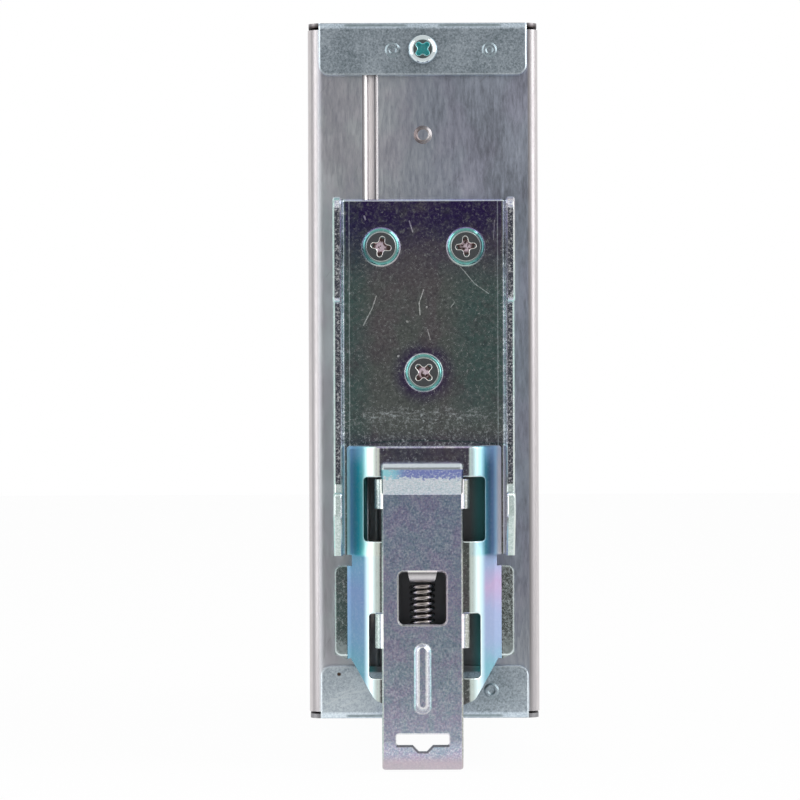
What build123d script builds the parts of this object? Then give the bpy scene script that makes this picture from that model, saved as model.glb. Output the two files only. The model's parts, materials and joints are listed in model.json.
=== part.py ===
"""DIN rail power supply: sheet-metal case, rail bracket with a sprung release slider,
screw terminals with rising clamps, and the converter inside.

Millimetres. +Z is up, the front with the terminals faces -Y and the rail side faces +Y.
The origin lies on the rail seat, at the middle of the 35 mm rail.
"""

import os
from math import atan2, cos, hypot, pi, sin, tan

from build123d import *

os.makedirs("parts", exist_ok=True)

# ---------------------------------------------------------------- driving dimensions
# rail seat
rail_height = 35.0
brim_gap = 1.3  # depth of the groove that takes the rail's 1 mm brim
seat_play = 0.1

# case
case_width = 41.5
case_height = 125.2
case_depth = 113.5
case_rise = 4.05  # middle of the case above the middle of the rail
case_back = -7.6
shell_sheet = 1.0
shell_corner = 2.0
cap_sheet = 0.8
shell_gap = 0.4  # between the end of the shell and the cap plate
seam_edge = 8.5
seam_step, seam_foot = 10.4, 9.85  # the seam steps down by one sheet between these
seam_bend = 1.2
seam_tuck = 4.2
shell_boss_z = 46.5

# caps
flange_width = 37.4
flange_height = 9.4
cap_screw_drop = 4.95
lip_height = 5.5  # side lips of the caps, inside the shell
vent_slot = 2.6
vent_pitch = 6.0
vent_margin = 4.0  # from the edge of the flange to the end of a slot
boss_x = (5.4, -12.0)  # half-pierced bosses in the flanges
edge_round = 0.25  # rounding left by the press on sheet edges

# rail bracket
bracket_sheet = 1.5
bracket_width = 32.2
bracket_top = 34.8
bend = 1.4  # inner bend radius of the hat
wall_bend = 0.5
hook_level = 3.8
hook_overlap = 1.5  # how far the hooks' noses reach over the rail's upper brim
bump_length = 4.2
wall_end = -29.0
wall_end_level = -1.5
hat_face = -0.15
hat_half = 9.35
hat_foot = 13.85
hat_top = -9.45
hat_inset = 2.95  # lower end of the hat above the bottom of the case
hat_tip_half = 6.6
foot_top = -31.0
foot_gap = 1.25  # between the feet and the flange of the bottom cap
neck_half = 13.0
window_inner = 6.6
upper_window_outer = 10.85
lower_window_outer = 9.95
lower_window_rise = 16.4  # upper end of the lower windows above the end of the hat
spring_window_half = 4.6
seat_rise = 5.55  # spring seat above the end of the hat
seat_half = 2.2
seat_reach = 4.3

# release slider
slider_sheet = 1.2
slider_width = 14.4
slider_play = 0.1  # gap to the bracket's raised face
slider_side = 0.42  # the slider leans to one side of its guide by this much
slider_travel = 5.4
slider_bend = 0.3  # inner bend radius
lip_drop = 0.05  # foot of the lip below the rail's lower edge
lip_reach = 4.9  # tip of the lip above the rail's lower edge
tail_reach = 4.9  # bend of the tail below the case
tail_tip = 8.05
tail_kick = 1.9
tail_bend_radius = 6.0
tool_slot_drop = 3.0
tool_slot = (9.4, 2.0)
notch_half, notch_floor, notch_depth = 1.8, 0.7, 1.15
tab_outer = 8.45
tab_depth = 3.1
upper_tab_rise = 2.3  # upper tabs, from the foot of the lip
upper_tab_length = 5.2
lower_tab_length = 6.05
slider_window = (-31.8, -41.1)
slider_window_half = 4.2
tongue_drop = 1.9  # lower face of the spring tongue below the window's upper end
tongue_root, tongue_end = 5.2, 4.3  # width of the tongue
rib_width = 2.9
rib_height = 0.6
rib_gap = (3.4, 4.65)  # from the window above and from the tool slot below

# release spring
spring_wire = 0.7
spring_outer = 4.6
spring_pitch = 1.085
coil_runs = 12  # straight runs per turn

# fasteners
m4_head, m4_head_height, m4_shank = 7.1, 2.4, 4.0
m3_head, m3_head_height, m3_shank = 5.4, 1.9, 3.0
hole_play = 0.4
backing_sheet = 2.0
backing_margin = (5.4, 5.55)  # plate beyond the outer screws, across and along

# screw terminals
output_poles, input_poles = 4, 3
pole_pitch = 7.62
block_wall = 1.6
block_depth = 18.0
block_height = 14.0
block_proud = 0.6
block_inset = 0.25  # entry face below the face of the cap
entry_wall = 1.3
screw_inset = 4.4  # screw axis below the entry face
head_recess = 1.5
head_back = 3.9
ledge = 5.2
contact_front = 10.0
clamp_travel = 3.0
clamp_width = 6.0
clamp_length = 7.2
clamp_height = 5.6
clamp_front_wall = 1.4
clamp_rear_wall = 1.2
clamp_side_wall = 1.1
clamp_play = 0.15
clamp_screw = 3.0
clamp_screw_head = 5.2
contact_sheet = 1.0
contact_width = 3.4
running_fit = 0.05

# front controls
control_drop = 21.15  # trimmer and lamp below the top of the case
control_half = 8.0
trimmer_radius = 1.75
lamp_radius = 1.5

# converter
board_sheet = 1.6
standoff_height = 3.25
board_margin = 4.7  # between the main board and the outside of the case
board_edge_gap = 1.35  # between the terminal boards and the shell
insulation_film = 0.4
back_inset = 14.4  # rear standoffs, from the back of the case
front_inset = 23.1
end_inset = (10.55, 11.15)  # lower and upper standoffs, from the ends of the case

# ---------------------------------------------------------------- derived levels
half_width = case_width / 2
case_top = case_rise + case_height / 2
case_bottom = case_top - case_height
case_front = case_back - case_depth
case_middle = (case_back + case_front) / 2
shell_top = case_top - cap_sheet - shell_gap
shell_bottom = case_bottom + cap_sheet + shell_gap
plate_face = case_back + bracket_sheet
bracket_half = bracket_width / 2
slope = atan2(hat_face - plate_face, hat_foot - hat_half)
bend_shift = bracket_sheet * tan(slope / 2)
groove_end = rail_height / 2 + seat_play + 0.5
nose_end = rail_height / 2 - hook_overlap
bump_face = -rail_height / 2 - seat_play
hat_end = case_bottom + hat_inset
foot_end = case_bottom + flange_height + foot_gap
slider_back = hat_face + slider_play
slider_face = slider_back + slider_sheet
slider_half = slider_width / 2
lip_base = bump_face - lip_drop
lip_tip = bump_face + lip_reach
tail_bend = case_bottom - tail_reach
tail_end = case_bottom - tail_tip
tool_slot_z = case_bottom - tool_slot_drop
# the tabs stop at the ends of the lower windows, at rest and at full travel
upper_tab = (lip_base + upper_tab_rise, lip_base + upper_tab_rise - upper_tab_length)
upper_window = (upper_tab[0] + 0.4, upper_tab[1] - slider_travel - 0.5)
lower_window_top = hat_end + lower_window_rise
lower_tab = (lower_window_top - 0.05, lower_window_top - 0.05 - lower_tab_length)
lower_window = (lower_window_top, lower_tab[1] - slider_travel - 0.1)
spring_seat_z = hat_end + seat_rise
spring_y = hat_face - spring_outer / 2 - 0.05
spring_top_z = slider_window[0] - tongue_drop - 0.05
cap_screw_z = (case_top - cap_screw_drop, case_bottom + cap_screw_drop)
bracket_screws_xz = ((-7.6, 26.2), (7.6, 26.2), (0, 3.65))
inner_back = case_back - shell_sheet
output_width = output_poles * pole_pitch + block_wall
input_width = input_poles * pole_pitch + block_wall
clamp_open = ledge + 0.2 + clamp_travel  # front face of an open clamp
control_z = case_top - control_drop
shell_inside = -half_width + shell_sheet
board_back = shell_inside + standoff_height
board_face = board_back + board_sheet


def facing_back(y):
    """Plane at depth y whose local x is X and local y is Z; it extrudes towards the front."""
    return Plane.XZ.offset(-y)


def facing_side(x):
    """Plane at width x whose local x is Y and local y is Z; it extrudes towards +X."""
    return Plane.YZ.offset(x)


def folded(points, radius, thickness, side=Side.LEFT):
    """Section of a sheet folded along a line of corners, lying on one side of that line."""
    with BuildSketch() as section:
        with BuildLine():
            FilletPolyline(*points, radius=radius)
            offset(amount=thickness, side=side)
        make_face()
    return section.sketch


def boss(at, profile):
    """Round boss on a face turned to the back: radius and height of its rings."""
    with BuildSketch(Plane(at, x_dir=(1, 0, 0), z_dir=(0, 0, 1))) as section:
        with BuildLine():
            Polyline((0, -0.1), *profile, (profile[-1][0], -0.1), close=True)
        make_face()
    revolve(section.sketch, axis=Axis(at, (0, 1, 0)))


def finish(name, piece):
    """Label a piece and write it as one STEP file."""
    piece.label = name
    export_step(piece, f"parts/{name}.step")
    print(name, len(piece.solids()), round(piece.volume, 1))


# ================================================================ case
# One aluminium sheet wrapped to a tube, closed by a stepped lap seam on the back.
with BuildPart() as housing_shell:
    with BuildSketch(Plane.XY.offset(shell_bottom)):
        with Locations((0, case_middle)):
            RectangleRounded(case_width, case_depth, shell_corner)
            RectangleRounded(
                case_width - 2 * shell_sheet,
                case_depth - 2 * shell_sheet,
                shell_corner - shell_sheet,
                mode=Mode.SUBTRACT,
            )
        with BuildLine():
            Polyline(
                (seam_edge, case_back),
                (seam_step, case_back),
                (seam_foot, inner_back),
                (seam_edge, inner_back),
                close=True,
            )
        make_face(mode=Mode.SUBTRACT)
        seam_lean = seam_step - seam_foot
        with BuildLine():
            Polyline(
                (seam_step, case_back),
                (seam_foot, inner_back),
                (seam_tuck, inner_back),
                (seam_tuck, inner_back - shell_sheet),
                (seam_foot + seam_lean, inner_back - shell_sheet),
                (seam_foot + hypot(seam_lean, shell_sheet), inner_back),
                close=True,
            )
        make_face()
    extrude(amount=shell_top - shell_bottom)
    for (x, y), radius in (
        ((seam_step, case_back), seam_bend),
        ((seam_foot, inner_back), 0.3),
        ((seam_edge, case_back), edge_round),
    ):
        at = (x, y, (shell_top + shell_bottom) / 2)
        fillet(housing_shell.edges().filter_by(Axis.Z).sort_by_distance(at)[0], radius)
    # openings in the front face: terminal blocks, lamp and trimmer
    with BuildSketch(facing_back(case_front + shell_sheet)):
        with Locations((0, shell_top)):
            Rectangle(output_width + 0.4, 2 * (block_height + 0.6))
        with Locations((0, shell_bottom)):
            Rectangle(input_width + 0.4, 2 * (block_height + 0.6))
        with Locations((-control_half, control_z)):
            Circle(lamp_radius + 0.15)
        with Locations((control_half, control_z)):
            Circle(trimmer_radius + 0.65)
    extrude(amount=shell_sheet, mode=Mode.SUBTRACT)
    # holes in the back for the bracket and cap screws
    with BuildSketch(facing_back(case_back)):
        with Locations(*bracket_screws_xz):
            Circle((m4_shank + hole_play) / 2)
        with Locations(*[(0, z) for z in cap_screw_z]):
            Circle((m3_shank + hole_play) / 2)
    extrude(amount=2 * shell_sheet, mode=Mode.SUBTRACT)
    # half-pierced locating boss
    with BuildSketch(facing_back(inner_back)):
        with Locations((0, shell_boss_z)):
            Circle(1.7)
    extrude(amount=-shell_sheet / 2, mode=Mode.SUBTRACT)
    boss((0, case_back, shell_boss_z), ((0, 0.25), (0.95, 0.25), (1.2, 0.4), (1.65, 0)))
finish("housing_shell", housing_shell.part)


def cap(top):
    """Galvanised end cap: vented plate, rear flange over the shell, inner side lips."""
    up = 1 if top else -1
    outer = case_top if top else case_bottom
    plate_end = case_front + block_depth - block_proud + 0.3
    flange_face = case_back + cap_sheet
    poles_width = output_width if top else input_width
    with BuildPart() as piece:
        # plate with rounded rear corners
        with BuildSketch(Plane.XY.offset(outer)):
            with Locations((0, (case_back + case_front) / 2)):
                RectangleRounded(case_width - 0.3, case_depth, shell_corner)
            with Locations((0, case_front)):
                Rectangle(poles_width + 0.6, 2 * (plate_end - case_front), mode=Mode.SUBTRACT)
        extrude(amount=-up * cap_sheet)
        # rear flange, folded down over the back of the shell
        with BuildSketch(facing_side(-flange_width / 2)):
            section = folded(
                (
                    (case_back - 6, up * outer),
                    (flange_face, up * outer),
                    (flange_face, up * outer - flange_height),
                ),
                cap_sheet + 0.4,
                cap_sheet,
                Side.RIGHT,
            )
            add(section if top else mirror(section, about=Plane.XZ))
        extrude(amount=flange_width)
        corners = piece.edges().filter_by(Axis.Y).group_by(Axis.Z)[0 if top else -1]
        fillet(corners, 1.8)
        # lips that slide inside the shell
        for side in (-1, 1):
            with BuildSketch(facing_side(side * (half_width - shell_sheet - 0.1))):
                with Locations(((case_back + plate_end) / 2, outer - up * lip_height / 2)):
                    RectangleRounded(case_back - plate_end - 12, lip_height - 0.1, 1.5)
            extrude(amount=-side * cap_sheet)
        # vent slots
        slot_rows = int((case_back - 12 - plate_end) / vent_pitch)
        with BuildSketch(Plane.XY.offset(outer)):
            with Locations((0, (case_back - 5 + plate_end) / 2)):
                with GridLocations(0, vent_pitch, 1, slot_rows):
                    Rectangle(flange_width - 2 * vent_margin, vent_slot)
        extrude(amount=-up * cap_sheet, mode=Mode.SUBTRACT)
        # screw hole and two half-pierced bosses
        screw_z = outer - up * cap_screw_drop
        with BuildSketch(facing_back(flange_face)):
            with Locations((0, screw_z)):
                Circle((m3_shank + hole_play) / 2)
        extrude(amount=cap_sheet, mode=Mode.SUBTRACT)
        with BuildSketch(facing_back(case_back)):
            with Locations(*[(x, screw_z) for x in boss_x]):
                Circle(1.25)
        extrude(amount=-cap_sheet / 2, mode=Mode.SUBTRACT)
        for x in boss_x:
            boss(
                (x, flange_face, screw_z),
                ((0, 0.02), (0.45, 0.02), (0.75, 0.22), (1.05, 0.22), (1.38, 0)),
            )
    return piece.part


finish("top_cap", cap(True))
finish("bottom_cap", cap(False))

# ================================================================ rail bracket
# Folded from one sheet: a plate with upstanding hooked walls, stepping up to a raised
# hat section that carries the slider, with flat feet and a tapered lower end.
with BuildPart() as rail_bracket:
    with BuildSketch(Plane.XY.offset(wall_end)):
        add(
            folded(
                (
                    (bracket_half, hook_level),
                    (bracket_half, case_back),
                    (-bracket_half, case_back),
                    (-bracket_half, hook_level),
                ),
                wall_bend + bracket_sheet,
                bracket_sheet,
                Side.RIGHT,
            )
        )
    extrude(amount=bracket_top - wall_end)
    # edge of both walls: upper hook with its nose, rail seat, lower bump, run-out
    with BuildSketch(facing_side(-bracket_half)) as wall_cut:
        with BuildLine():
            Polyline(
                (hook_level + 1, nose_end),
                (brim_gap, nose_end),
                (brim_gap, groove_end),
                (0, groove_end),
                (0, bump_face),
                (hook_level - 0.2, bump_face),
                (hook_level - 0.2, bump_face - bump_length),
                (wall_end_level, wall_end),
                (hook_level + 1, wall_end),
                close=True,
            )
        make_face()
        inner = wall_cut.vertices().filter_by_position(Axis.X, -0.1, brim_gap + 0.1)
        fillet(inner.filter_by_position(Axis.Y, nose_end + 1, groove_end + 1), 0.3)
        fillet(wall_cut.vertices().sort_by_distance((brim_gap, nose_end))[0], 0.8)
        fillet(wall_cut.vertices().sort_by_distance((hook_level - 0.2, bump_face))[0], 0.8)
        fillet(
            wall_cut.vertices().sort_by_distance((hook_level - 0.2, bump_face - bump_length))[0],
            1.6,
        )
    extrude(amount=bracket_width, mode=Mode.SUBTRACT)
    wall_tips = rail_bracket.edges().filter_by(Axis.X).filter_by_position(
        Axis.Y, hook_level - 0.1, hook_level + 0.1
    )
    fillet(wall_tips.group_by(Axis.Z)[-1], 2.6)
    fillet(wall_tips.group_by(Axis.Z)[0], 1.0)
    # broken edges along the rims of the walls
    for level in (bracket_half, bracket_half - bracket_sheet):
        rims = rail_bracket.edges().filter_by(Axis.Z).filter_by_position(Axis.Y, -0.1, hook_level)
        chamfer(rims.filter_by(lambda edge: abs(abs(edge.center().X) - level) < 0.01), edge_round)
    # raised hat section
    with BuildSketch(Plane.XY.offset(hat_end)):
        with BuildLine():
            FilletPolyline(
                (-hat_foot, plate_face),
                (-hat_half, hat_face),
                (hat_half, hat_face),
                (hat_foot, plate_face),
                radius=bend + bracket_sheet,
            )
            Polyline(
                (hat_foot, plate_face),
                (bracket_half - 1.2, plate_face),
                (bracket_half - 1.2, case_back),
                (-bracket_half + 1.2, case_back),
                (-bracket_half + 1.2, plate_face),
                (-hat_foot, plate_face),
            )
        make_face()
    extrude(amount=hat_top - hat_end)
    step_edge = rail_bracket.edges().filter_by_position(Axis.Z, hat_top - 0.01, hat_top + 0.01)
    fillet(step_edge.filter_by(Axis.X).group_by(Axis.Y)[-1], 0.5)
    # flat feet beside the hat
    with BuildSketch(facing_back(plate_face)):
        with Locations((0, (foot_top + foot_end) / 2)):
            RectangleRounded(bracket_width, foot_top - foot_end, 1.2)
    extrude(amount=bracket_sheet)
    with BuildSketch(Plane.XY.offset(hat_end - 1)):
        with BuildLine():
            FilletPolyline(
                (-bracket_half, case_back),
                (-hat_foot + bend_shift, case_back),
                (-hat_half + bend_shift, hat_face - bracket_sheet),
                (hat_half - bend_shift, hat_face - bracket_sheet),
                (hat_foot - bend_shift, case_back),
                (bracket_half, case_back),
                radius=(0.8, bend, bend, 0.8),
            )
            Polyline(
                (bracket_half, case_back),
                (bracket_half, case_back - 2),
                (-bracket_half, case_back - 2),
                (-bracket_half, case_back),
            )
        make_face()
    extrude(amount=hat_top - bracket_sheet - hat_end + 1, mode=Mode.SUBTRACT)
    # blank outline: side notches above the feet and the tapered lower end
    with BuildSketch(facing_back(hook_level)) as trim:
        for side in (-1, 1):
            with Locations((side * (bracket_half + 1), (wall_end + foot_top) / 2)):
                Rectangle(2 * (bracket_half + 1 - neck_half), wall_end - foot_top)
            with BuildLine():
                Polyline(
                    (side * (bracket_half + 1), foot_end + 0.9),
                    (side * (bracket_half - 0.6), foot_end + 0.9),
                    (side * (hat_foot + 0.2), foot_end + 0.1),
                    (side * (hat_foot - 0.6), foot_end + 0.4),
                    (side * (hat_half - 0.45), hat_end + 1),
                    (side * hat_tip_half, hat_end),
                    (side * hat_tip_half, hat_end - 2),
                    (side * (bracket_half + 1), hat_end - 2),
                    close=True,
                )
            make_face()
        fillet(
            trim.vertices().filter_by_position(Axis.Y, hat_end + 0.9, hat_end + 1.1),
            1.6,
        )
    extrude(amount=hook_level - case_back, mode=Mode.SUBTRACT)
    # guide windows for the slider's tabs
    with BuildSketch(facing_back(hat_face + 1)) as windows:
        for side in (-1, 1):
            for (z_top, z_bottom), outer in (
                (upper_window, upper_window_outer),
                (lower_window, lower_window_outer),
            ):
                with Locations((side * (window_inner + outer) / 2, (z_top + z_bottom) / 2)):
                    Rectangle(outer - window_inner, z_top - z_bottom)
        outer_corners = [v for v in windows.vertices() if abs(v.X) > window_inner + 1]
        fillet(outer_corners, 0.7)
        # spring window
        with Locations((0, (slider_window[0] + 0.3 + spring_seat_z) / 2)):
            RectangleRounded(
                2 * spring_window_half, slider_window[0] + 0.3 - spring_seat_z, 0.8
            )
    extrude(amount=hat_face - case_back, mode=Mode.SUBTRACT)
    # spring seat tongue, folded from the lower end of the spring window
    with BuildSketch(facing_side(-seat_half)):
        add(
            folded(
                (
                    (hat_face, spring_seat_z - bracket_sheet - 2),
                    (hat_face, spring_seat_z),
                    (hat_face - seat_reach, spring_seat_z),
                ),
                bracket_sheet + 0.2,
                bracket_sheet,
                Side.LEFT,
            )
        )
    extrude(amount=2 * seat_half)
    # screw holes
    with BuildSketch(facing_back(plate_face)):
        with Locations(*bracket_screws_xz):
            Circle((m4_shank + hole_play) / 2)
    extrude(amount=bracket_sheet, mode=Mode.SUBTRACT)
finish("rail_bracket", rail_bracket.part)

# ================================================================ release slider
# Sheet strip with a raised clamping lip, guide tabs, spring window, stiffening rib and
# a screwdriver slot in its bent tail.
with BuildPart() as release_slider:
    with BuildSketch(facing_side(slider_side - slider_half)):
        lip_rise = lip_tip - lip_base
        add(
            folded(
                (
                    (slider_back + lip_rise - 0.3, lip_tip + 0.2),
                    (slider_back, lip_base + 0.1),
                    (slider_back, tail_bend),
                    (slider_back - tail_kick, tail_end),
                ),
                (slider_sheet + slider_bend, tail_bend_radius),
                slider_sheet,
                Side.LEFT,
            )
        )
    extrude(amount=slider_width)
    # rounded corners at both ends of the strip
    straight = release_slider.edges().filter_by(GeomType.LINE)
    fillet(straight.filter_by(lambda e: abs(e.length - slider_sheet) < 0.01), 0.6)
    # broken edges along the strip
    along = release_slider.edges().filter_by(Axis.Z)
    chamfer(along.filter_by_position(Axis.Y, slider_face - 0.01, slider_face + 0.01), edge_round)
    with BuildSketch(facing_back(slider_face)):
        # spring window
        with Locations((slider_side, sum(slider_window) / 2)):
            RectangleRounded(2 * slider_window_half, slider_window[0] - slider_window[1], 0.9)
        # screwdriver slot with its centring notch
        with Locations((slider_side, tool_slot_z)):
            RectangleRounded(*tool_slot, 0.4)
        notch = tool_slot_z - tool_slot[1] / 2
        with BuildLine():
            Polyline(
                (slider_side - notch_half, notch + 0.01),
                (slider_side - notch_floor, notch - notch_depth),
                (slider_side + notch_floor, notch - notch_depth),
                (slider_side + notch_half, notch + 0.01),
                close=True,
            )
        make_face()
        # bend reliefs below the lip
        for side in (-1, 1):
            with Locations((slider_side + side * slider_half, lip_base - 0.9)):
                Circle(0.35)
    extrude(amount=2 * slider_sheet, mode=Mode.SUBTRACT)
    # broken edges around the spring window
    window_top, window_end = slider_window
    rims = release_slider.edges().filter_by_position(Axis.Z, window_end - 0.1, window_top + 0.1)
    rims = rims.filter_by_position(Axis.Y, slider_face - 0.01, slider_face + 0.01)
    inner_half = slider_window_half + 0.1
    chamfer(rims.filter_by(lambda edge: abs(edge.center().X - slider_side) < inner_half), edge_round)
    # guide tabs folded through the bracket's windows and under the strip between them
    for side in (-1, 1):
        for tab_top, tab_bottom in (upper_tab, lower_tab):
            with BuildSketch(Plane.XY.offset(tab_bottom)):
                add(
                    folded(
                        [
                            (slider_side + side * x, y)
                            for x, y in (
                                (slider_half - 1.6, slider_face),
                                (tab_outer, slider_face),
                                (tab_outer, -tab_depth),
                                (window_inner - 1.0 + slider_side, -tab_depth),
                            )
                        ],
                        (slider_sheet + slider_bend, slider_sheet + 0.1),
                        slider_sheet,
                        Side.RIGHT if side > 0 else Side.LEFT,
                    )
                )
            extrude(amount=tab_top - tab_bottom)
    # tongue that pushes on the spring
    tongue_z = slider_window[0] - tongue_drop
    with BuildPart(mode=Mode.PRIVATE) as tongue:
        with BuildSketch(facing_side(slider_side - tongue_root / 2)):
            add(
                folded(
                    (
                        (slider_face, slider_window[0] + 0.9),
                        (slider_face, tongue_z),
                        (slider_back - seat_reach + 0.1, tongue_z),
                    ),
                    tongue_drop - 0.1,
                    slider_sheet,
                    Side.RIGHT,
                )
            )
        extrude(amount=tongue_root)
        with BuildSketch(facing_back(slider_face)):
            for side in (-1, 1):
                with BuildLine():
                    Polyline(
                        (slider_side + side * tongue_root / 2, slider_window[0]),
                        (slider_side + side * tongue_end / 2, tongue_z - 0.1),
                        (slider_side + side * tongue_root, tongue_z - 0.1),
                        (slider_side + side * tongue_root, slider_window[0]),
                        close=True,
                    )
                make_face()
        extrude(amount=seat_reach + 2, mode=Mode.SUBTRACT)
    add(tongue.part)
    # embossed rib
    rib_top, rib_bottom = slider_window[1] - rib_gap[0], tool_slot_z + rib_gap[1]
    with BuildSketch(facing_back(slider_face)):
        with Locations((slider_side, (rib_top + rib_bottom) / 2)):
            SlotOverall(rib_top - rib_bottom, rib_width, rotation=90)
    extrude(amount=-rib_height, taper=42)
    with BuildSketch(facing_back(slider_back)):
        with Locations((slider_side, (rib_top + rib_bottom) / 2)):
            SlotOverall(rib_top - rib_bottom - 1.6, rib_width - 1.2, rotation=90)
    extrude(amount=-0.5, mode=Mode.SUBTRACT)
    # rounded shoulders and foot of the rib
    rib_edges = release_slider.edges().filter_by_position(Axis.Z, rib_bottom - 1, rib_top + 1)
    for level, radius in ((slider_face + rib_height, 0.35), (slider_face, 0.4)):
        around = rib_edges.filter_by_position(Axis.Y, level - 0.01, level + 0.01)
        fillet([e for e in around if abs(e.center().X - slider_side) < rib_width], radius)
finish("release_slider", release_slider.part)

# compression spring between the slider's tongue and the bracket's seat
with BuildPart() as slider_spring:
    coil_low = spring_seat_z + 0.05 + spring_wire / 2
    coil_rise = spring_top_z - 0.05 - spring_wire / 2 - coil_low
    coil_radius = (spring_outer - spring_wire) / 2
    coil_steps = int(coil_rise / spring_pitch * coil_runs)
    with BuildLine() as coil:
        Polyline(
            *[
                (
                    slider_side + coil_radius * cos(2 * pi * i / coil_runs),
                    spring_y + coil_radius * sin(2 * pi * i / coil_runs),
                    coil_low + coil_rise * i / coil_steps,
                )
                for i in range(coil_steps + 1)
            ]
        )
    with BuildSketch(Plane(origin=coil.line @ 0, z_dir=coil.line % 0)):
        RegularPolygon(spring_wire / 2, 6)
    sweep(transition=Transition.RIGHT)
finish("slider_spring", slider_spring.part)

# ================================================================ fasteners
def pan_screws(places, face_y, head, head_height, shank, length):
    """Pan-head screws driven towards the front, heads seated on a face at depth face_y."""
    with BuildPart() as screws:
        for x, z in places:
            with BuildSketch(Plane((x, face_y, z), x_dir=(1, 0, 0), z_dir=(0, 0, 1))):
                with BuildLine():
                    Polyline(
                        (0, -length),
                        (shank / 2, -length),
                        (shank / 2, 0),
                        (head / 2, 0),
                        (head / 2, head_height * 0.45),
                        (head * 0.36, head_height),
                        (0, head_height),
                        close=True,
                    )
                make_face()
            revolve(axis=Axis((x, face_y, z), (0, 1, 0)))
    return screws.part


finish(
    "bracket_screws",
    pan_screws(bracket_screws_xz, plate_face, m4_head, m4_head_height, m4_shank, 6.5),
)
finish(
    "cap_screws",
    pan_screws(
        [(0, z) for z in cap_screw_z],
        case_back + cap_sheet,
        m3_head,
        m3_head_height,
        m3_shank,
        5.5,
    ),
)

# tapped plate inside the back that takes the three bracket screws
with BuildPart() as backing_plate:
    backing_face = inner_back - shell_sheet
    screw_x, screw_z = zip(*bracket_screws_xz)
    with BuildSketch(facing_back(backing_face)):
        with Locations((0, (max(screw_z) + min(screw_z)) / 2)):
            RectangleRounded(
                max(screw_x) - min(screw_x) + 2 * backing_margin[0],
                max(screw_z) - min(screw_z) + 2 * backing_margin[1],
                2,
            )
        with Locations(*bracket_screws_xz):
            Circle(m4_shank / 2 + running_fit, mode=Mode.SUBTRACT)
    extrude(amount=backing_sheet)
finish("backing_plate", backing_plate.part)

# round clinch nuts for the two cap screws
with BuildPart() as clinch_nuts:
    with BuildSketch(facing_back(inner_back)):
        with Locations(*[(0, z) for z in cap_screw_z]):
            Circle(3.2)
            Circle(m3_shank / 2 + running_fit, mode=Mode.SUBTRACT)
    extrude(amount=3.0)
finish("clinch_nuts", clinch_nuts.part)


# ================================================================ screw terminals
def depth(u):
    """Depth coordinate of a point u behind the case's front face."""
    return case_front + u


def pole_places(poles):
    """Positions of the poles across the case."""
    return [(i - (poles - 1) / 2) * pole_pitch for i in range(poles)]


def terminal_block(poles, entry, up):
    """Moulded block: screwdriver bores in front, wire entries in its outer face."""
    places = pole_places(poles)
    cavity_end = clamp_open + clamp_length + 0.3
    with BuildPart() as block:
        with BuildSketch(Plane.XY.offset(entry)):
            with Locations((0, depth((block_depth - 2 * block_proud) / 2))):
                Rectangle(poles * pole_pitch + block_wall, block_depth)
        extrude(amount=-up * block_height)
        chamfer(block.edges().filter_by(Axis.X).group_by(Axis.Y)[0], 0.8)
        # clamp chambers
        with BuildSketch(Plane.XY.offset(entry - up * entry_wall)):
            for x in places:
                with Locations((x, depth((ledge + cavity_end) / 2))):
                    Rectangle(clamp_width + 2 * clamp_play, cavity_end - ledge)
        extrude(amount=-up * (clamp_height + 0.6), mode=Mode.SUBTRACT)
        # wire entries with a funnel
        with BuildSketch(Plane.XY.offset(entry)):
            for x in places:
                with Locations((x, depth(contact_front + contact_sheet + 1.7))):
                    Rectangle(3.8, 3.3)
        extrude(amount=-up * entry_wall, mode=Mode.SUBTRACT)
        entry_face = block.faces().filter_by_position(Axis.Z, entry - 0.01, entry + 0.01)[0]
        chamfer([edge for wire in entry_face.inner_wires() for edge in wire.edges()], 0.5)
        # slots for the contacts
        with BuildSketch(Plane.XY.offset(entry - up * (entry_wall + 0.3))):
            for x in places:
                with Locations((x, depth(contact_front + contact_sheet / 2))):
                    Rectangle(contact_width + 0.2, contact_sheet + 0.1)
        extrude(amount=-up * block_height, mode=Mode.SUBTRACT)
        # screwdriver bore, head chamber and shank hole of every pole
        for start, end, radius in (
            (-block_proud, head_recess - 0.1, clamp_screw_head / 2 - 0.5),
            (head_recess - 0.1, head_back + 0.1, clamp_screw_head / 2 + 0.15),
            (head_back, ledge, clamp_screw / 2 + 0.15),
        ):
            with BuildSketch(facing_back(depth(start))):
                with Locations(*[(x, entry - up * screw_inset) for x in places]):
                    if start < 0:
                        Circle(radius)
                    else:
                        Rectangle(2 * radius, 2 * radius)
            extrude(amount=-(end - start), mode=Mode.SUBTRACT)
        # dividing ribs between the poles on the front face
        with BuildSketch(facing_back(depth(-block_proud))):
            for x in places[:-1]:
                with Locations((x + pole_pitch / 2, entry - up * block_height / 2)):
                    Rectangle(0.8, block_height - 1.6)
        extrude(amount=0.5)
    return block.part


def terminal_screw(x, z):
    """Captive clamp screw on the axis of one pole."""
    with BuildPart() as screw:
        with BuildSketch(facing_back(depth(head_recess))):
            with Locations((x, z)):
                Circle(clamp_screw_head / 2)
        extrude(amount=-(head_back - head_recess))
        with BuildSketch(facing_back(depth(head_back))):
            with Locations((x, z)):
                Circle(clamp_screw / 2)
        extrude(amount=-(contact_front - 0.1 - head_back))
    return screw.part


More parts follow.
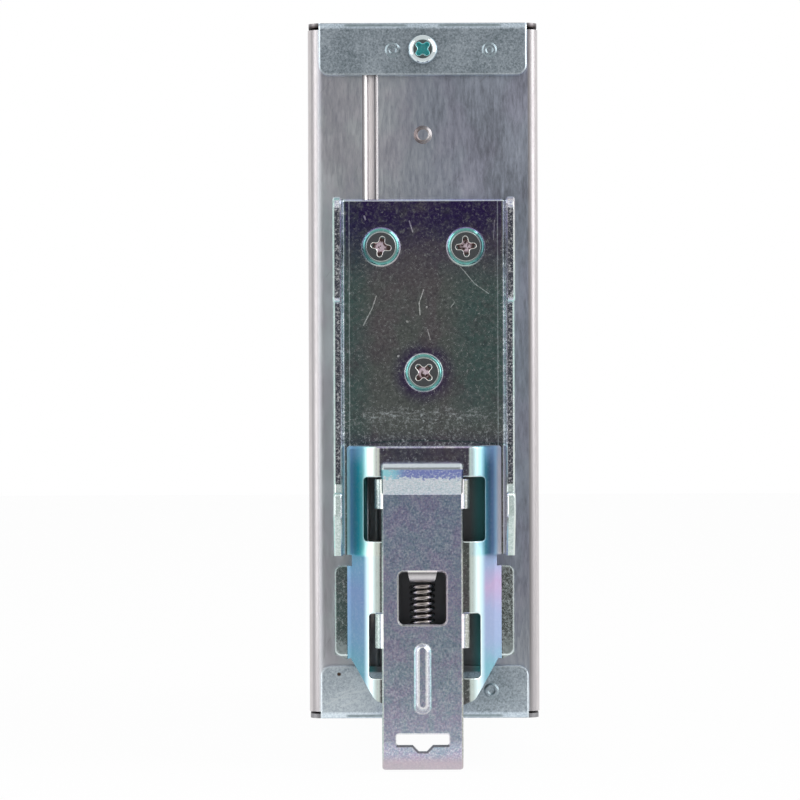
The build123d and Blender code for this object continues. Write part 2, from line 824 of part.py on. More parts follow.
def terminal_clamp(x, z):
    """Rising cage: a square ring with the screw's thread in its front wall."""
    with BuildPart() as clamp:
        with BuildSketch(Plane.XY.offset(z - clamp_height / 2)):
            with Locations((x, depth(clamp_open + clamp_length / 2))):
                Rectangle(clamp_width, clamp_length)
            inner_length = clamp_length - clamp_front_wall - clamp_rear_wall
            with Locations((x, depth(clamp_open + clamp_front_wall + inner_length / 2))):
                Rectangle(clamp_width - 2 * clamp_side_wall, inner_length, mode=Mode.SUBTRACT)
        extrude(amount=clamp_height)
        with BuildSketch(facing_back(depth(clamp_open - 0.1))):
            with Locations((x, z)):
                Circle(clamp_screw / 2 + running_fit)
        extrude(amount=-(clamp_front_wall + 0.2), mode=Mode.SUBTRACT)
    return clamp.part


def terminal_contacts(poles, entry, up):
    """Flat contacts that pass through the clamps and down to the terminal board."""
    start = entry - up * (entry_wall + 0.35)
    with BuildPart() as contacts:
        with BuildSketch(Plane.XY.offset(start)):
            for x in pole_places(poles):
                with Locations((x, depth(contact_front + contact_sheet / 2))):
                    Rectangle(contact_width, contact_sheet)
        extrude(amount=-up * (block_height - entry_wall + board_sheet + 1.2))
    return contacts.part


def terminal_board(entry, up):
    """Small board under a block, butting against the main board."""
    face = entry - up * block_height
    poles = output_poles if up > 0 else input_poles
    edge = -shell_inside - board_edge_gap
    with BuildPart() as board:
        with BuildSketch(Plane.XY.offset(face)):
            with Locations(((board_face + edge) / 2, depth(block_depth / 2 + 1.5))):
                Rectangle(edge - board_face, block_depth)
            for x in pole_places(poles):
                with Locations((x, depth(contact_front + contact_sheet / 2))):
                    Rectangle(contact_width + 0.2, contact_sheet + 0.1, mode=Mode.SUBTRACT)
        extrude(amount=-up * board_sheet)
    return board.part


for group, poles, entry, up in (
    ("output", output_poles, case_top - block_inset, 1),
    ("input", input_poles, case_bottom + block_inset, -1),
):
    finish(f"{group}_terminal_block", terminal_block(poles, entry, up))
    finish(f"{group}_contacts", terminal_contacts(poles, entry, up))
    finish(f"{group}_board", terminal_board(entry, up))
    for i, x in enumerate(pole_places(poles), 1):
        finish(f"{group}_screw_{i}", terminal_screw(x, entry - up * screw_inset))
        finish(f"{group}_clamp_{i}", terminal_clamp(x, entry - up * screw_inset))

# ================================================================ front controls
output_board_under = case_top - block_inset - block_height - board_sheet

# voltage trimmer under the output board
with BuildPart() as trimmer_body:
    with BuildSketch(facing_back(depth(1.2))):
        with Locations((control_half, (output_board_under + control_z - 3.4) / 2)):
            Rectangle(6.8, output_board_under - control_z + 3.4)
        with Locations((control_half, control_z)):
            Circle(trimmer_radius + 0.1, mode=Mode.SUBTRACT)
    extrude(amount=-4.6)
    with BuildSketch(facing_back(depth(4.6))):
        with Locations((control_half, control_z)):
            Circle(trimmer_radius + 0.45)
    extrude(amount=-1.2)
finish("trimmer_body", trimmer_body.part)

with BuildPart() as trimmer_rotor:
    with BuildSketch(facing_back(depth(0.4))):
        with Locations((control_half, control_z)):
            Circle(trimmer_radius)
    extrude(amount=-4.1)
    with BuildSketch(facing_back(depth(0.4))):
        with Locations((control_half, control_z)):
            Rectangle(2.6, 0.6)
            Rectangle(0.6, 2.6)
    extrude(amount=-0.8, mode=Mode.SUBTRACT)
finish("trimmer_rotor", trimmer_rotor.part)

# status lamp: flanged lens through the front, leads up to the output board
with BuildPart() as status_led:
    lamp_at = (-control_half, depth(0), control_z)
    with BuildSketch(Plane(lamp_at, x_dir=(1, 0, 0), z_dir=(0, 0, 1))):
        with BuildLine():
            Polyline(
                (0, 5.2),
                (lamp_radius + 0.5, 5.2),
                (lamp_radius + 0.5, 4.2),
                (lamp_radius, 4.2),
                (lamp_radius, 0.3),
                (lamp_radius * 0.7, -0.5),
                (0, 0.6 - lamp_radius),
                close=True,
            )
        make_face()
    revolve(axis=Axis(lamp_at, (0, 1, 0)))
    with BuildSketch(Plane.XY.offset(output_board_under)):
        for side in (-1, 1):
            with Locations((side * 1.27 - control_half, depth(4.8))):
                Rectangle(0.5, 0.5)
    extrude(amount=-(output_board_under - control_z))
finish("status_led", status_led.part)

# ================================================================ main board and supports
standoff_yz = [
    (y, z)
    for y in (case_back - back_inset, case_front + front_inset)
    for z in (case_bottom + end_inset[0], case_top - end_inset[1])
]

with BuildPart() as main_board:
    with BuildSketch(facing_side(board_back)):
        with Locations((case_middle, (case_top + case_bottom) / 2)):
            Rectangle(case_depth - 2 * board_margin, case_height - 2 * board_margin)
        # corner cut away for the output block
        with Locations((case_front, case_top)):
            Rectangle(
                2 * (block_depth + 0.4), 2 * (block_height + 0.35), mode=Mode.SUBTRACT
            )
        with Locations(*standoff_yz):
            Circle(1.7, mode=Mode.SUBTRACT)
    extrude(amount=board_sheet)
finish("main_board", main_board.part)

with BuildPart() as insulation_sheet:
    with BuildSketch(facing_side(shell_inside)):
        with Locations((case_middle, (case_top + case_bottom) / 2)):
            Rectangle(case_depth - 6.5, case_height - 2 * lip_height - 1.0)
        with Locations(*standoff_yz):
            Rectangle(7.2, 7.2, mode=Mode.SUBTRACT)
    extrude(amount=insulation_film)
finish("insulation_sheet", insulation_sheet.part)

with BuildPart() as board_standoffs:
    with BuildSketch(facing_side(shell_inside)):
        with Locations(*standoff_yz):
            RegularPolygon(3.2, 6)
            Circle(1.55, mode=Mode.SUBTRACT)
    extrude(amount=board_back - shell_inside)
finish("board_standoffs", board_standoffs.part)

with BuildPart() as board_screws:
    for start, end, radius, corners in (
        (shell_inside + 0.45, board_face, 1.5, 8),
        (board_face, board_face + 1.6, 3.0, 6),
    ):
        with BuildSketch(facing_side(start)):
            with Locations(*standoff_yz):
                RegularPolygon(radius, corners)
        extrude(amount=end - start)
finish("board_screws", board_screws.part)

# ================================================================ converter parts
# places on the board: counted from the ends of the case the parts stand nearest to
core_y, core_z = case_back - 52.4, 10.0
bulk_y, bulk_z = case_back - 21.4, case_bottom + 15.55
choke_y, choke_z = case_back - 49.4, case_bottom + 21.55
x_capacitor_y, x_capacitor_z = case_front + 24.1, case_bottom + 31.55
fuse_y, fuse_z = case_front + 25.1, case_bottom + 43.55
disc_y, disc_z = (case_front + 37.1, case_front + 26.1), case_bottom + 18.55
smoothing_y, smoothing_z = case_front + 23.1, (17.0, 28.5, 40.0)
primary_sink_y, primary_sink_z = case_back - 30.4, 33.0
secondary_sink_y, secondary_sink_z = case_back - 64.4, 44.5
inductor_y, inductor_z = case_back - 48.4, 50.0

# ferrite core with its three legs, and the wound bobbin around the middle leg
core_length, core_height, core_depth = 35.0, 30.0, 11.0
core_leg, core_window, core_lift = 11.0, (7.8, 21.0), 8.0
winding_height = core_window[1] - 0.2
winding_section = (core_depth + 13.0, core_leg + 2 * core_window[0] - 0.4)
pin_strip = (core_length - 15.0, 12.0)
with BuildPart() as transformer_core:
    with BuildSketch(facing_side(board_face + core_lift)):
        with Locations((core_y, core_z)):
            Rectangle(core_length, core_height)
            for side in (-1, 1):
                with Locations((side * (core_leg + core_window[0]) / 2, 0)):
                    Rectangle(*core_window, mode=Mode.SUBTRACT)
    extrude(amount=core_depth)
finish("transformer_core", transformer_core.part)

with BuildPart() as transformer_winding:
    with BuildSketch(Plane.XY.offset(core_z - winding_height / 2)):
        with Locations((board_face + core_lift + core_depth / 2, core_y)):
            RectangleRounded(*winding_section, 3)
            Rectangle(core_depth + 0.2, core_leg + 0.2, mode=Mode.SUBTRACT)
    extrude(amount=winding_height)
    # bobbin feet with their pin rows on the board
    for side in (-1, 1):
        with BuildSketch(facing_side(board_face)):
            with Locations((core_y, core_z + side * (core_height / 2 + 3.5))):
                Rectangle(winding_section[1], 5)
        extrude(amount=core_lift - 1)
        with BuildSketch(facing_side(board_face)):
            with Locations((core_y, core_z + side * (core_height / 2 - 1.5))):
                Rectangle(*pin_strip)
        extrude(amount=3.0)
finish("transformer_winding", transformer_winding.part)


def can_capacitors(places, radius, length, along):
    """Cylindrical capacitors standing at their sealed ends."""
    with BuildPart() as cans:
        for start in places:
            axis = Axis(start, (0, 0, 1) if along == "Z" else (1, 0, 0))
            if along == "Z":
                section = Plane(start, x_dir=(1, 0, 0), z_dir=(0, -1, 0))
            else:
                section = Plane(start, x_dir=(0, -1, 0), z_dir=(0, 0, 1))
            with BuildSketch(section):
                with BuildLine():
                    Polyline(
                        (0, 0),
                        (radius, 0),
                        (radius, length),
                        (0, length),
                        close=True,
                    )
                make_face()
            revolve(axis=axis)
    return cans.part


bulk_radius, bulk_length = 12.5, 45.0
smoothing_radius, smoothing_length = 5.0, 21.0
finish(
    "bulk_capacitor",
    can_capacitors(
        [(board_face + bulk_radius + 0.1, bulk_y, bulk_z)], bulk_radius, bulk_length, "Z"
    ),
)
finish(
    "output_capacitors",
    can_capacitors(
        [(board_face, smoothing_y, z) for z in smoothing_z],
        smoothing_radius,
        smoothing_length,
        "X",
    ),
)

# common-mode choke: ring core standing on the board with two windings
choke_radius, choke_lift = 8.2, 12.5
choke_axis = Axis((board_face + choke_lift, choke_y, choke_z), (0, 0, 1))
with BuildPart() as common_mode_choke:
    for side in (-1, 1):
        with BuildSketch(Plane.XZ.offset(-choke_y)):
            with Locations((board_face + choke_lift + side * choke_radius, choke_z)):
                Rectangle(7.4, 11.4)
        revolve(axis=choke_axis, revolution_arc=140)
    with BuildSketch(Plane.XZ.offset(-choke_y)):
        with Locations((board_face + choke_lift + choke_radius, choke_z)):
            Rectangle(4.6, 8.4)
    revolve(axis=choke_axis)
    # moulded base under the ring
    with BuildSketch(facing_side(board_face)):
        with Locations((choke_y, choke_z)):
            Rectangle(16, 12)
    extrude(amount=3.0)
finish("common_mode_choke", common_mode_choke.part)

# film capacitor across the mains
with BuildPart() as x_capacitor:
    with BuildSketch(facing_side(board_face)):
        with Locations((x_capacitor_y, x_capacitor_z)):
            Rectangle(18, 10)
    extrude(amount=16)
    chamfer(x_capacitor.faces().sort_by(Axis.X)[-1].edges(), 0.5)
finish("x_capacitor", x_capacitor.part)

# glass fuse with its end caps, on two clips
fuse_radius, fuse_length, fuse_cap, fuse_lift = 2.6, 20.0, 5.4, 5.0
with BuildPart() as fuse:
    for start, end, radius in (
        (0, fuse_length, fuse_radius - 0.25),
        (0, fuse_cap, fuse_radius),
        (fuse_length - fuse_cap, fuse_length, fuse_radius),
    ):
        fuse_end = (board_face + fuse_lift, fuse_y - fuse_length / 2 + start, fuse_z)
        with BuildSketch(Plane(fuse_end, z_dir=(0, 1, 0))):
            Circle(radius)
        extrude(amount=end - start)
finish("fuse", fuse.part)

with BuildPart() as fuse_clips:
    for side in (-1, 1):
        clip_y = fuse_y + side * (fuse_length - fuse_cap) / 2
        with BuildSketch(Plane.XZ.offset(-clip_y - 1.5)):
            with Locations((board_face + fuse_lift, fuse_z)):
                Circle(fuse_radius + 0.5)
                Circle(fuse_radius + 0.05, mode=Mode.SUBTRACT)
                with Locations((2.4, 0)):
                    Rectangle(2.0, 3.0, mode=Mode.SUBTRACT)
            with Locations((board_face + (fuse_lift - fuse_radius - 0.2) / 2, fuse_z)):
                Rectangle(fuse_lift - fuse_radius - 0.2, 1.0)
        extrude(amount=3.0)
finish("fuse_clips", fuse_clips.part)

# inrush thermistor and varistor: coated discs standing on their leads
with BuildPart() as coated_discs:
    for y, radius in zip(disc_y, (5.5, 5.0)):
        with BuildSketch(Plane.XZ.offset(-y)):
            with Locations((board_face + radius + 2.0, disc_z)):
                Circle(radius)
            with Locations(*[(board_face + 1.9, disc_z + s) for s in (-2.5, 2.5)]):
                Rectangle(3.8, 0.8)
        extrude(amount=3.6)
finish("coated_discs", coated_discs.part)

# extruded heat sinks standing on the board: a back plate with fins
sink_plate, sink_height, fin, fin_pitch = 2.4, 27.0, (1.3, 5.2), 5.4
primary_sink_length, secondary_sink_length = 34.0, 24.0


def heat_sink(y, z, length):
    """Finned plate standing on the board, fins towards the back."""
    with BuildPart() as sink:
        with BuildSketch(Plane.XY.offset(z - length / 2)):
            with Locations((board_face + sink_height / 2, y)):
                Rectangle(sink_height, sink_plate)
            for i in range(5):
                fin_x = board_face + 3.5 + i * fin_pitch
                with Locations((fin_x, y + (sink_plate + fin[1]) / 2 - 0.2)):
                    Rectangle(*fin)
        extrude(amount=length)
    return sink.part


finish("primary_heat_sink", heat_sink(primary_sink_y, primary_sink_z, primary_sink_length))
finish(
    "secondary_heat_sink",
    heat_sink(secondary_sink_y, secondary_sink_z, secondary_sink_length),
)


def power_devices(y, levels):
    """Three-legged power packages flat on a heat sink, legs down to the board."""
    with BuildPart() as devices:
        with BuildSketch(Plane.XZ.offset(-y)):
            with Locations(*[(board_face + 11.5, z) for z in levels]):
                Rectangle(9.0, 10.0)
        extrude(amount=4.4)
        with BuildSketch(Plane.XZ.offset(-y)):
            with Locations(*[(board_face + 18.7, z) for z in levels]):
                Rectangle(5.4, 10.0)
                Circle(1.8, mode=Mode.SUBTRACT)
        extrude(amount=1.3)
        with BuildSketch(Plane.XZ.offset(-y + 2.2)):
            with Locations(
                *[(board_face + 3.6, z + s) for z in levels for s in (-2.54, 0, 2.54)]
            ):
                Rectangle(7.2, 0.8)
        extrude(amount=0.6)
    return devices.part


finish(
    "primary_switches",
    power_devices(
        primary_sink_y - sink_plate / 2, (primary_sink_z - 1.5, primary_sink_z + 10)
    ),
)
finish(
    "output_rectifier",
    power_devices(secondary_sink_y - sink_plate / 2, (secondary_sink_z,)),
)

# output inductor: wound ring lying on the board
with BuildPart() as output_inductor:
    with BuildSketch(Plane.XZ.offset(-inductor_y)):
        with Locations((board_face + 6.2, inductor_z + 6.6)):
            Rectangle(10.0, 5.6)
    revolve(axis=Axis((board_face, inductor_y, inductor_z), (1, 0, 0)))
    with BuildSketch(facing_side(board_face)):
        with Locations((inductor_y, inductor_z)):
            Rectangle(14, 14)
    extrude(amount=1.5)
finish("output_inductor", output_inductor.part)

# opto-couplers and the control chip
with BuildPart() as control_parts:
    with BuildSketch(facing_side(board_face)):
        with Locations((case_back - 79.4, 6.0), (case_back - 71.4, -3.0)):
            Rectangle(6.5, 9.6)
        with Locations((case_back - 16.4, 22.0)):
            Rectangle(8.0, 10.0)
    extrude(amount=3.6)
    chamfer(control_parts.faces().filter_by(Axis.X).sort_by(Axis.X)[-3:].edges(), 0.4)
finish("control_parts", control_parts.part)
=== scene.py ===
"""Looks of the DIN rail power supply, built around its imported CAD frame.

Metres, in the frame of the CAD: +Z up, the rail side faces +Y, the terminals face -Y.
"""

import json
from math import cos, pi, radians, sin, tau

import bmesh
import bpy
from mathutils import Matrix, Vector


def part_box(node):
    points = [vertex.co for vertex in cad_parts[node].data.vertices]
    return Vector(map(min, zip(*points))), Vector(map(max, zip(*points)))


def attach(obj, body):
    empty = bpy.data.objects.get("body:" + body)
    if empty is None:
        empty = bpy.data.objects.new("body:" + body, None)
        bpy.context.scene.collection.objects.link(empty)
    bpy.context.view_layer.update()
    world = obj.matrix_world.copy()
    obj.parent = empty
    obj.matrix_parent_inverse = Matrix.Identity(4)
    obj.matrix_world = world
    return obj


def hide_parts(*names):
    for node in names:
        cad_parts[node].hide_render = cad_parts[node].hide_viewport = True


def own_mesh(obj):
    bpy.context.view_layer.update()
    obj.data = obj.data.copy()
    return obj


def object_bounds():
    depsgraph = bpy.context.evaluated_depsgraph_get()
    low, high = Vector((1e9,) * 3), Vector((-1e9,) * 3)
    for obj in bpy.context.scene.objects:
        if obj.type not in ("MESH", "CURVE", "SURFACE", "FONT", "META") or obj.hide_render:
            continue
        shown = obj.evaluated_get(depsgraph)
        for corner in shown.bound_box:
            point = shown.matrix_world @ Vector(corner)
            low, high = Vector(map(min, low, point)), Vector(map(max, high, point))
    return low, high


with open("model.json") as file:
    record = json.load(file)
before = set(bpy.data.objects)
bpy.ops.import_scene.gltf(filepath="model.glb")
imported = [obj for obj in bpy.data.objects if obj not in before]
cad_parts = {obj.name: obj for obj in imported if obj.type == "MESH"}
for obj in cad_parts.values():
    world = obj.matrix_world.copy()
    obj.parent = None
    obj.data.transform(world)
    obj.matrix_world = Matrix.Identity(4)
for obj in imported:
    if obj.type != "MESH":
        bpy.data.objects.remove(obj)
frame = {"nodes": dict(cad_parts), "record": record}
cad_low, cad_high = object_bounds()
scene = bpy.context.scene

MM = 0.001

# places on the part in millimetres, shared by finishes and pieces
SLIDER_X = 0.42  # middle of the slider
UPPER_SCREWS = (7.6, 26.2)  # x of the left screw and z of both; the right one is mirrored
LOWER_SCREW_Z = 3.65
CAP_SCREWS_MIDDLE, CAP_SCREWS_REACH = 4.05, 57.65  # z halfway between them, and z from there
BRACKET_HEADS_TOP = -4.02  # y of the flat tops of the bracket's screws
HAT_TOP = (-9.6, -9.3)  # z over which the bracket's hat ends and its flat plate begins
WALL_RIMS = (-3.0, -2.0)  # y over which the rims of its side walls are told from the plate
WALL_INSIDE = 14.4  # distance of the walls' inner faces from the middle
WALLS_END = (-28.6, -29.4)  # z over which the hat's flanks pass the lower end of the walls

# rounded rectangles seen from behind: lowest x, highest x, lowest z, highest z, radius
BOSS = (-1.95, 1.95, 44.55, 48.45, 1.94)
PUNCHED_DOT = (15.05, 15.75, -50.85, -50.25, 0.3)
UPPER_WINDOW = (6.6, 10.85, -26.5, -14.9, 0.7)
LOWER_WINDOW = (6.6, 9.95, -50.8, -39.2, 0.7)
FEET = (-16.1, 16.1, -47.15, -31.0, 1.2)
SPRING_WINDOW = (-3.78, 4.62, -41.1, -31.8, 0.9)
TOOL_SLOT = (-4.28, 5.12, -62.5, -60.5, 0.4)
RIB = (-1.12, 1.96, -56.8, -44.1, 1.54)


# ------------------------------------------------------------------ materials
class Nodes:
    """Short ways to add nodes to a tree. Values may be sockets or constants."""

    def __init__(self, tree):
        self.tree = tree

    def link(self, value, socket):
        if isinstance(value, bpy.types.NodeSocket):
            self.tree.links.new(value, socket)
        elif socket.type == "RGBA" and len(value) == 3:
            socket.default_value = (*value, 1.0)
        else:
            socket.default_value = value

    def node(self, kind, inputs=(), output=0, **properties):
        made = self.tree.nodes.new("ShaderNode" + kind)
        for name, value in properties.items():
            setattr(made, name, value)
        for name, value in dict(inputs).items():
            self.link(value, made.inputs[name])
        return made.outputs[output] if made.outputs else None

    def math(self, operation, a, b=0.0, clamp=False):
        return self.node("Math", {0: a, 1: b}, operation=operation, use_clamp=clamp)

    def chain(self, operation, values):
        total = values[0]
        for value in values[1:]:
            total = self.math(operation, total, value)
        return total

    def add(self, *values):
        return self.chain("ADD", values)

    def times(self, *values):
        return self.chain("MULTIPLY", values)

    def either(self, *values):
        return self.chain("MAXIMUM", values)

    def minus(self, a, b):
        return self.math("SUBTRACT", a, b)

    def absolute(self, value):
        return self.math("ABSOLUTE", value)

    def sign(self, value):
        return self.math("SIGN", value)

    def vector(self, operation, a, b=(0.0, 0.0, 0.0), output=0):
        return self.node("VectorMath", {0: a, 1: b}, output, operation=operation)

    def stretched(self, vector, share):
        return self.node("VectorMath", {0: vector, "Scale": share}, operation="SCALE")

    def length(self, vector):
        return self.vector("LENGTH", vector, output=1)

    def xyz(self, x=0.0, y=0.0, z=0.0):
        return self.node("CombineXYZ", {0: x, 1: y, 2: z})

    def axis(self, index, vector):
        return self.node("SeparateXYZ", {0: vector}, index)

    def rise(self, value, low, high, to_low=0.0, to_high=1.0):
        """Smooth step from to_low to to_high as value goes from low to high."""
        ends = {"From Min": low, "From Max": high, "To Min": to_low, "To Max": to_high}
        return self.node("MapRange", {"Value": value, **ends}, interpolation_type="SMOOTHSTEP")

    def rise_linear(self, value, low, high):
        return self.node("MapRange", {"Value": value, "From Min": low, "From Max": high})

    def band(self, value, low, high, soft=0.1):
        """1 where value lies between low and high, with soft ends."""
        return self.times(
            self.rise(value, low - soft, low + soft),
            self.rise(value, high - soft, high + soft, 1.0, 0.0),
        )

    def mix(self, factor, a, b, blend="MIX"):
        made = self.tree.nodes.new("ShaderNodeMix")
        made.data_type = "RGBA"
        made.blend_type = blend
        for index, value in ((0, factor), (6, a), (7, b)):
            self.link(value, made.inputs[index])
        return made.outputs[2]

    def ramp(self, factor, *stops):
        made = self.tree.nodes.new("ShaderNodeValToRGB")
        elements = made.color_ramp.elements
        while len(elements) < len(stops):
            elements.new(0.5)
        for element, (position, colour) in zip(elements, stops):
            element.position = position
            element.color = (*colour, 1.0)
        self.link(factor, made.inputs[0])
        return made.outputs[0]

    def steps(self, value, low, high, *stops):
        """Colour ramp over value running from low to high; stops in units of value."""
        scale = 1.0 / (high - low)
        factor = self.rise_linear(value, low, high)
        return self.ramp(factor, *[((at - low) * scale, colour) for at, colour in stops])


class Finish(Nodes):
    """One material. Coordinates are the object's own, in millimetres."""

    def __init__(self, name, metallic=0.0, roughness=0.5, colour=(0.8, 0.8, 0.8), **more):
        self.material = bpy.data.materials.new(name)
        self.material.use_nodes = True
        super().__init__(self.material.node_tree)
        self.shader = self.tree.nodes["Principled BSDF"]
        look = {"Metallic": metallic, "Roughness": roughness, "Base_Color": colour, **more}
        for socket, value in look.items():
            self.link(value, self.shader.inputs[socket.replace("_", " ")])
        coordinates = self.tree.nodes.new("ShaderNodeTexCoord")
        self.normal = coordinates.outputs["Normal"]
        self.place = self.vector("MULTIPLY", coordinates.outputs["Object"], (1 / MM,) * 3)
        self.x, self.y, self.z = (self.axis(i, self.place) for i in range(3))
        self.nx, self.ny = (self.axis(i, self.normal) for i in range(2))

    def facing(self, *limits):
        """Smooth step over how far the surface looks to the back."""
        return self.rise(self.ny, *limits)

    def sideways(self, *limits):
        """Smooth step over how far the surface looks to either side."""
        return self.rise(self.absolute(self.nx), *limits)

    def scaled(self, x, y, z, place=None):
        return self.vector("MULTIPLY", place or self.place, (x, y, z))

    def noise(self, x, y=None, z=None, detail=2.0, rough=0.5, distortion=0.0, shift=0.0):
        """Noise with x, y, z cycles per millimetre along the axes."""
        vector = self.scaled(x, x if y is None else y, x if z is None else z)
        if shift:
            vector = self.vector("ADD", vector, (shift,) * 3)
        look = {"Detail": detail, "Roughness": rough, "Distortion": distortion}
        return self.node("TexNoise", {"Vector": vector, "Scale": 1.0, **look})

    def cells(self, scale, output=0):
        return self.node("TexVoronoi", {"Vector": self.scaled(*(scale,) * 3), "Scale": 1.0}, output)

    def bump(self, height, distance, strength=1.0):
        made = self.tree.nodes.new("ShaderNodeBump")
        self.link(height, made.inputs["Height"])
        made.inputs["Distance"].default_value = distance
        made.inputs["Strength"].default_value = strength
        old = self.shader.inputs["Normal"]
        if old.is_linked:
            self.link(old.links[0].from_socket, made.inputs["Normal"])
        self.link(made.outputs[0], old)

    def paint(self, colour, roughness=None, dull=None):
        """Links the colour, the roughness and how far the surface is from bare metal."""
        self.link(colour, self.shader.inputs["Base Color"])
        if roughness is not None:
            self.link(roughness, self.shader.inputs["Roughness"])
        if dull is not None:
            self.link(self.minus(1.0, dull), self.shader.inputs["Metallic"])
        return self.material

    def lean(self, *ways):
        """Tilts the shading normal by adding vectors to it, as for rounded sheet edges."""
        total = self.normal
        for way in ways:
            total = self.vector("ADD", total, way)
        self.link(self.vector("NORMALIZE", total), self.shader.inputs["Normal"])

    def outline(self, x1, x2, z1, z2, radius, mirrored=False):
        """Distance outside a rounded rectangle on a back face, and the way out of it."""
        x = self.absolute(self.x) if mirrored else self.x
        right = self.minus(x, (x1 + x2) / 2)
        up = self.minus(self.z, (z1 + z2) / 2)
        across = self.minus(self.absolute(right), (x2 - x1) / 2 - radius)
        along = self.minus(self.absolute(up), (z2 - z1) / 2 - radius)
        inside = self.math("MINIMUM", self.either(across, along), 0.0)
        across, along = self.either(across, 0.0), self.either(along, 0.0)
        side = self.sign(right)
        if mirrored:
            side = self.times(side, self.sign(self.x))
        way = self.xyz(self.times(across, side), 0.0, self.times(along, self.sign(up)))
        return self.add(self.length(way), inside, -radius), self.vector("NORMALIZE", way)

    def rim(self, outline, low, high, amount, where=1.0):
        """Band along an outline, with the vector that leans it outwards by amount."""
        gap, way = outline
        share = self.times(self.band(gap, low, high, 0.06), self.facing(0.5, 0.8), where)
        return share, self.stretched(way, self.times(share, amount))

    def stroke(self, x1, z1, x2, z2, width):
        """Thin line on a face turned to the back, from one point to another."""
        start, run = Vector((x1, z1, 0)), Vector((x2 - x1, z2 - z1, 0))
        away = self.vector("SUBTRACT", self.xyz(self.x, self.z), start)
        along = self.vector("DOT_PRODUCT", away, run / run.length_squared, output=1)
        along = self.math("MULTIPLY", along, 1.0, clamp=True)
        gap = self.vector("DISTANCE", away, self.stretched(run, along), output=1)
        return self.rise(gap, width * 0.4, width, 1.0, 0.0)

    def strokes(self, *table):
        """Several thin lines: x and z of one end, x and z of the other, width."""
        return self.either(*[self.stroke(*row) for row in table])

    def hairlines(self, size, width, turn=0.0, stretch=6.0, share=0.5, shift=0.0):
        """Thin scattered lines: edges of long cells, kept only in patches."""
        inputs = {"Vector": self.place, "Axis": (0.0, 1.0, 0.0), "Angle": turn}
        turned = self.node("VectorRotate", inputs, rotation_type="AXIS_ANGLE")
        vector = self.scaled(1.0 / size, 1.0 / size, 1.0 / (size * stretch), turned)
        inputs = {"Vector": self.vector("ADD", vector, (shift,) * 3), "Scale": 1.0}
        edge = self.node("TexVoronoi", inputs, feature="DISTANCE_TO_EDGE")
        line = self.rise(edge, 0.0, width / size, 1.0, 0.0)
        patches = self.noise(0.9 / size, shift=shift + 7.0)
        return self.times(line, self.rise(patches, 0.66 - 0.25 * share, 0.72 - 0.25 * share))


def shaded_recess(f, tone):
    """Darkens the face behind the hat's windows, where hardly any light gets in."""
    hidden = f.times(f.band(f.x, -11.6, 11.6, 0.3), f.band(f.z, -50.2, -9.5, 0.2))
    hidden = f.times(hidden, f.band(f.y, -8.0, -6.4, 0.1))
    teal = f.rise(f.absolute(f.x), 8.0, 10.0)
    dark = f.mix(teal, (0.26, 0.26, 0.27), (0.14, 0.42, 0.43))
    return f.mix(hidden, tone, dark)


